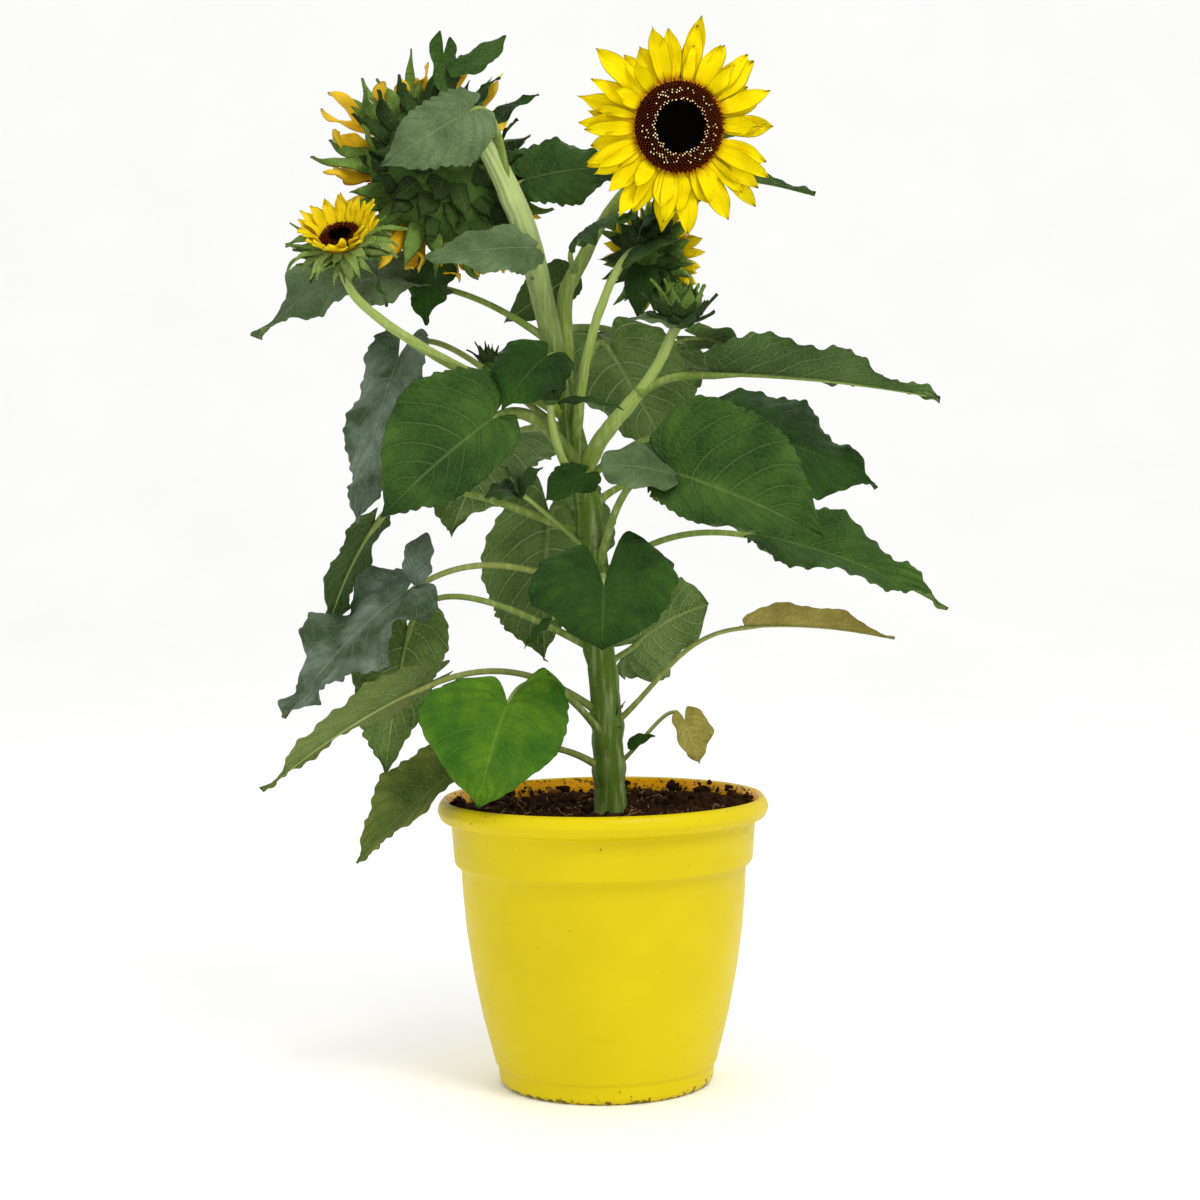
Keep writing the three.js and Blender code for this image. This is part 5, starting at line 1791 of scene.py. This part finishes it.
HEADS: dict[str, Head] = {
    "flower_front": Head(
        (64, -41, 739), -78, -8, 35, 5, 17,
        petals=[
            Whorl(18, 42, 17.5, 0, curl=6, uneven=0.14, seat=0.97, twist=22, flutter=0.06),
            Whorl(17, 41, 16, 8, curl=10, uneven=0.16, seat=0.97, twist=28, flutter=0.07),
            Whorl(14, 35, 13, 17, curl=22, uneven=0.19, seat=0.96, twist=34, flutter=0.08),
        ],
        bracts=mantle(30, 13, 17, lift=-24),
        florets=980, pollen_shows=True,
    ),
    "flower_left": Head(
        (-190, -65, 654), -100, 46, 15.5, 3, 12,
        petals=[
            Whorl(16, 25, 9.4, 44, curl=-6, uneven=0.08, seat=0.96, twist=16),
            Whorl(15, 23, 9, 58, curl=14, uneven=0.08, seat=0.94, twist=20),
        ],
        bracts=mantle(30, 10, 17, lift=8, curl=10),
        pale=True, florets=240, petal=YOUNG_PETAL, seed=8,
        leafy=[
            Leaf((-186, -52, 652), (-160, -40, 606), 36, bow=5, roll=24, lobe=0.1, habit=Habit.DEEP),
            Leaf((-200, -58, 650), (-214, -66, 622), 13, bow=3, roll=-20, lobe=0, habit=Habit.DEEP),
        ],
    ),
    "flower_terminal": Head(
        (-124, 12, 711), 120, -20, 56, 9, 32,
        petals=[
            Whorl(20, 46, 14, 2, curl=26, uneven=0.2, twist=60, flutter=0.15, seat=0.98),
            Whorl(16, 40, 13, 22, curl=44, uneven=0.24, twist=60, flutter=0.16, seat=0.96),
        ],
        bracts=mantle(40, 16, 19, lift=-4, curl=10),
        florets=700, petal=SPENT_PETAL, spent=True, dark=True, seed=13,
        leafy=[
            Leaf((-115, -3, 804), (-106, 0, 762), 30, bow=-4, roll=62, lobe=0.42, ears=(1.0, 0.7)),
            Leaf((-112, -3, 790), (-66, -8, 816), 24, bow=-6, roll=60, lobe=0, point=0.8),
            Leaf((-96, 18, 738), (-42, -2, 772), 28, bow=5, roll=44, lobe=0, habit=Habit.DEEP),
            Leaf((-82, 16, 716), (-58, -6, 752), 26, bow=4, roll=44, lobe=0, habit=Habit.DEEP),
            Leaf((-98, 8, 742), (-72, -14, 784), 30, bow=6, roll=54, lobe=0.1, habit=Habit.DEEP),
        ],
    ),
    "flower_back": Head(
        (43, 21, 648), 56, 4, 22, 4, 17,
        petals=[
            Whorl(20, 21, 9, 16, curl=8, uneven=0.16),
            Whorl(18, 20, 9, 30, curl=14, uneven=0.16),
        ],
        bracts=mantle(24, 12, 15, lift=10, curl=16),
        florets=260, petal=YOUNG_PETAL, dark=True, seed=21,
        leafy=[
            Leaf((38, 10, 644), (32, -16, 596), 26, bow=3, lobe=0, habit=Habit.DEEP),
            Leaf((34, 2, 662), (58, -8, 676), 26, bow=7, roll=30, lobe=0.1, habit=Habit.DEEP),
            Leaf((20, -15, 637), (66, -14, 657), 20, bow=5, roll=36, lobe=0, ruffle=0.6),
        ],
    ),
}  # fmt: skip


@dataclass
class Bud:
    """A closed flower bud: a ball wrapped in narrow pointed bracts, on its own stalk where it has one."""

    centre: Point
    azimuth: float  # degrees from +X towards +Y
    tilt: float  # degrees above the level
    radius: float
    bracts: list[Whorl]
    foot: float | None = None  # the height at which its stalk leaves the stem
    rise: float = 0.0  # degrees that the stalk climbs there
    stalk: float = 2.4  # the stalk's radius
    leaf: Leaf | None = None
    seed: int = 31

    def build(self, name: str, framework: Framework) -> None:
        """Makes the bud as one piece.

        Args:
            name: its CAD node's name.
            framework: the limbs.
        """
        rng = np.random.default_rng(self.seed)
        r = self.radius
        head = Head(self.centre, self.azimuth, self.tilt, r, 1, r, [], [])
        skin = Skin(f"{name}_bracts")
        corners = [(0, -0.9 * r), (0.62 * r, -0.72 * r), (r, -0.1 * r), (0.8 * r, 0.5 * r), (0, 0.8 * r)]
        skin.tube(head.face(turned(rounded(corners, 0.4 * r, 7), 32)), CUP, 6 * r)
        head.add_whorls(skin, self.bracts[:2], PAINTED_SHADE_BRACT, rng)
        head.add_whorls(skin, self.bracts[2:], GREEN_BRACT, rng)
        if self.foot is not None:
            root, seat = framework.paths[MAIN].height(self.foot), np.array(self.centre, dtype=float)
            outward = unit((seat - root) * (1, 1, 0))
            reach, rise = float(np.linalg.norm(seat - root)) * 0.45, math.radians(self.rise)
            away = outward * math.cos(rise) + UP * math.sin(rise)
            path = Path(bezier([root, root + away * reach, seat - UP * reach * 0.7, seat]))
            share = np.linspace(0, 1, 36)
            radii = np.array([(0, self.stalk * 1.4), (0.15, self.stalk), (1, self.stalk * 0.8)])
            rings = tube_rings(path, radii, share, unit(np.cross(UP, outward)), 14)
            skin.tube(rings, BRANCH, 6.28 * self.stalk, ends(share))
        if self.leaf:
            self.leaf.loose(skin, self.seed)
        skin.piece("bract", name)


BUDS: dict[str, Bud] = {
    "bud_right": Bud(
        (65, -26, 601), -80, 78, 16,
        spikes(
            0.01, 4,
            (9, 19, 14, 18, -16, 0.8, 0.55, 0.14),
            (10, 19, 15, 58, 14, 0.98, 0.25, 0.14),
            (9, 18, 15, 86, 36, 0.94, -0.16, 0.14),
            (8, 15, 13, 104, 40, 0.74, -0.42, 0.14),
            (6, 12, 10, 108, 26, 0.46, -0.6, 0.12),
            (4, 9, 7, 98, 0, 0.15, -0.7, 0.12),
        ),
        leaf=Leaf((63, -33, 590), (22, -38, 592), 26, bow=5, roll=-24, lobe=0, ruffle=0.6, habit=Habit.DUSTY),
    ),
    "bud_left_small": Bud(
        (-84, 28, 567), 100, 80, 8,
        spikes(0.02, 10, (8, 15, 8, 62, 34, 0.9, 0.3, 0.18), (7, 13, 7, 96, 30, 0.68, -0.2, 0.16)),
        foot=548, seed=37,
    ),
    "bud_centre_small": Bud(
        (-36, -32, 536), -90, 80, 7.5,
        spikes(0.02, 10, (8, 14, 8, 62, 34, 0.9, 0.3, 0.18), (7, 12, 7, 96, 30, 0.68, -0.2, 0.16)),
        foot=458, rise=35, stalk=3.6, seed=41,
        leaf=Leaf((-30, -36, 532), (20, -40, 525), 17, bow=5, roll=20, lobe=0, habit=Habit.DEEP),
    ),
}  # fmt: skip


# ---------------------------------------------------------------- studio


@dataclass
class Studio:
    """The camera, the pale floor and soft studio light."""

    lens: float = 69.0  # millimetres
    distance: float = 1.8  # metres, and so is the eye's height
    eye_height: float = 0.4535
    look_down: float = 2.38  # degrees
    lean: float = -0.8  # degrees about the line of sight
    lit: Point = (0.0, 0.0, 0.45)  # where the lamps point, in metres

    def camera(self) -> None:
        """Sets up the camera in front of the plant, looking slightly down."""
        data = bpy.data.cameras.new("camera")
        data.lens, data.sensor_width, data.clip_end = self.lens, 36.0, 50.0
        camera = bpy.data.objects.new("camera", data)
        place = Matrix.Translation((0.0, -self.distance, self.eye_height))
        nod = Matrix.Rotation(math.radians(90 - self.look_down), 4, "X")
        camera.matrix_world = place @ (nod @ Matrix.Rotation(math.radians(self.lean), 4, "Z"))
        bpy.context.scene.collection.objects.link(camera)
        bpy.context.scene.camera = camera

    def floor(self) -> None:
        """Lays the pale floor, a sheet that curves up far behind the plant."""
        near, far, cove, half = -4000, 2600, 2400, 6000
        curve = np.linspace(0.1, np.pi / 2, 14)
        y = np.concatenate([np.linspace(near, far, 8), far + cove * np.sin(curve)])
        z = np.concatenate([np.zeros(8), cove * (1 - np.cos(curve))])
        x = np.linspace(-half, half, 3)[None]
        points = np.stack(np.broadcast_arrays(x, y[:, None], z[:, None]), axis=-1)
        mesh = bpy.data.meshes.new("studio_floor")
        corner = (np.arange(len(y) - 1)[:, None] * 3 + np.arange(2)).ravel()
        quads = np.stack([corner, corner + 1, corner + 4, corner + 3], axis=1)
        mesh.from_pydata(points.reshape(-1, 3) * MM, [], quads)
        mesh.polygons.foreach_set("use_smooth", np.ones(len(corner), dtype=bool))
        mesh.materials.append(FLOOR.material())
        floor = bpy.data.objects.new("studio_floor", mesh)
        bpy.context.scene.collection.objects.link(floor)

    def light(self, name: str, place: Point, size: float, power: float, colour: str) -> None:
        """Hangs one soft panel of light that faces the plant.

        Args:
            name: the light's name.
            place: where it hangs, in metres.
            size: its side, in metres.
            power: its power, in watts.
            colour: its sRGB hex colour.
        """
        data = bpy.data.lights.new(name, "AREA")
        data.shape, data.size, data.energy = "SQUARE", size, power
        data.color = linear(colour)[:3]
        lamp = bpy.data.objects.new(name, data)
        lamp.location = place
        lamp.rotation_euler = (Vector(self.lit) - Vector(place)).to_track_quat("-Z", "Y").to_euler()
        bpy.context.scene.collection.objects.link(lamp)

    def build(self) -> None:
        """Sets up the whole studio."""
        self.camera()
        self.floor()
        self.light("key_light", (1.0, -1.5, 2.3), 0.9, 31, "FFFAF2")
        self.light("fill_light", (-1.9, -1.2, 1.2), 1.6, 2, "F6F9FF")
        self.light("back_light", (-0.6, 1.7, 2.2), 1.4, 8, "FFFFFF")
        world = bpy.data.worlds.new("studio_air")
        world.use_nodes = True
        air = world.node_tree.nodes["Background"]
        air.inputs[0].default_value, air.inputs[1].default_value = linear("FFFFFF"), 0.93
        bpy.context.scene.world = world
        bpy.context.scene.view_settings.view_transform = "Standard"


def main() -> None:
    """Builds the plant from the pot upwards."""
    logging.basicConfig(level=logging.INFO, format="%(name)s: %(message)s")
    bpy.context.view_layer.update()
    Studio().build()
    Pot().build()
    Compost().build()
    framework = Framework()
    feet: dict[str, list[tuple[float, Array]]] = {}
    for leaf in LEAVES.values():
        feet.setdefault(leaf.limb, []).append((leaf.foot, leaf.heading(framework)))
    framework.build(feet)
    for seed, (name, leaf) in enumerate(LEAVES.items()):
        leaf.build(name, framework, 100 + seed)
    Shoot().build(framework)
    for name, head in HEADS.items():
        head.build(name)
    for name, bud in BUDS.items():
        bud.build(name, framework)
    bpy.context.view_layer.update()


if __name__ == "__main__":
    main()
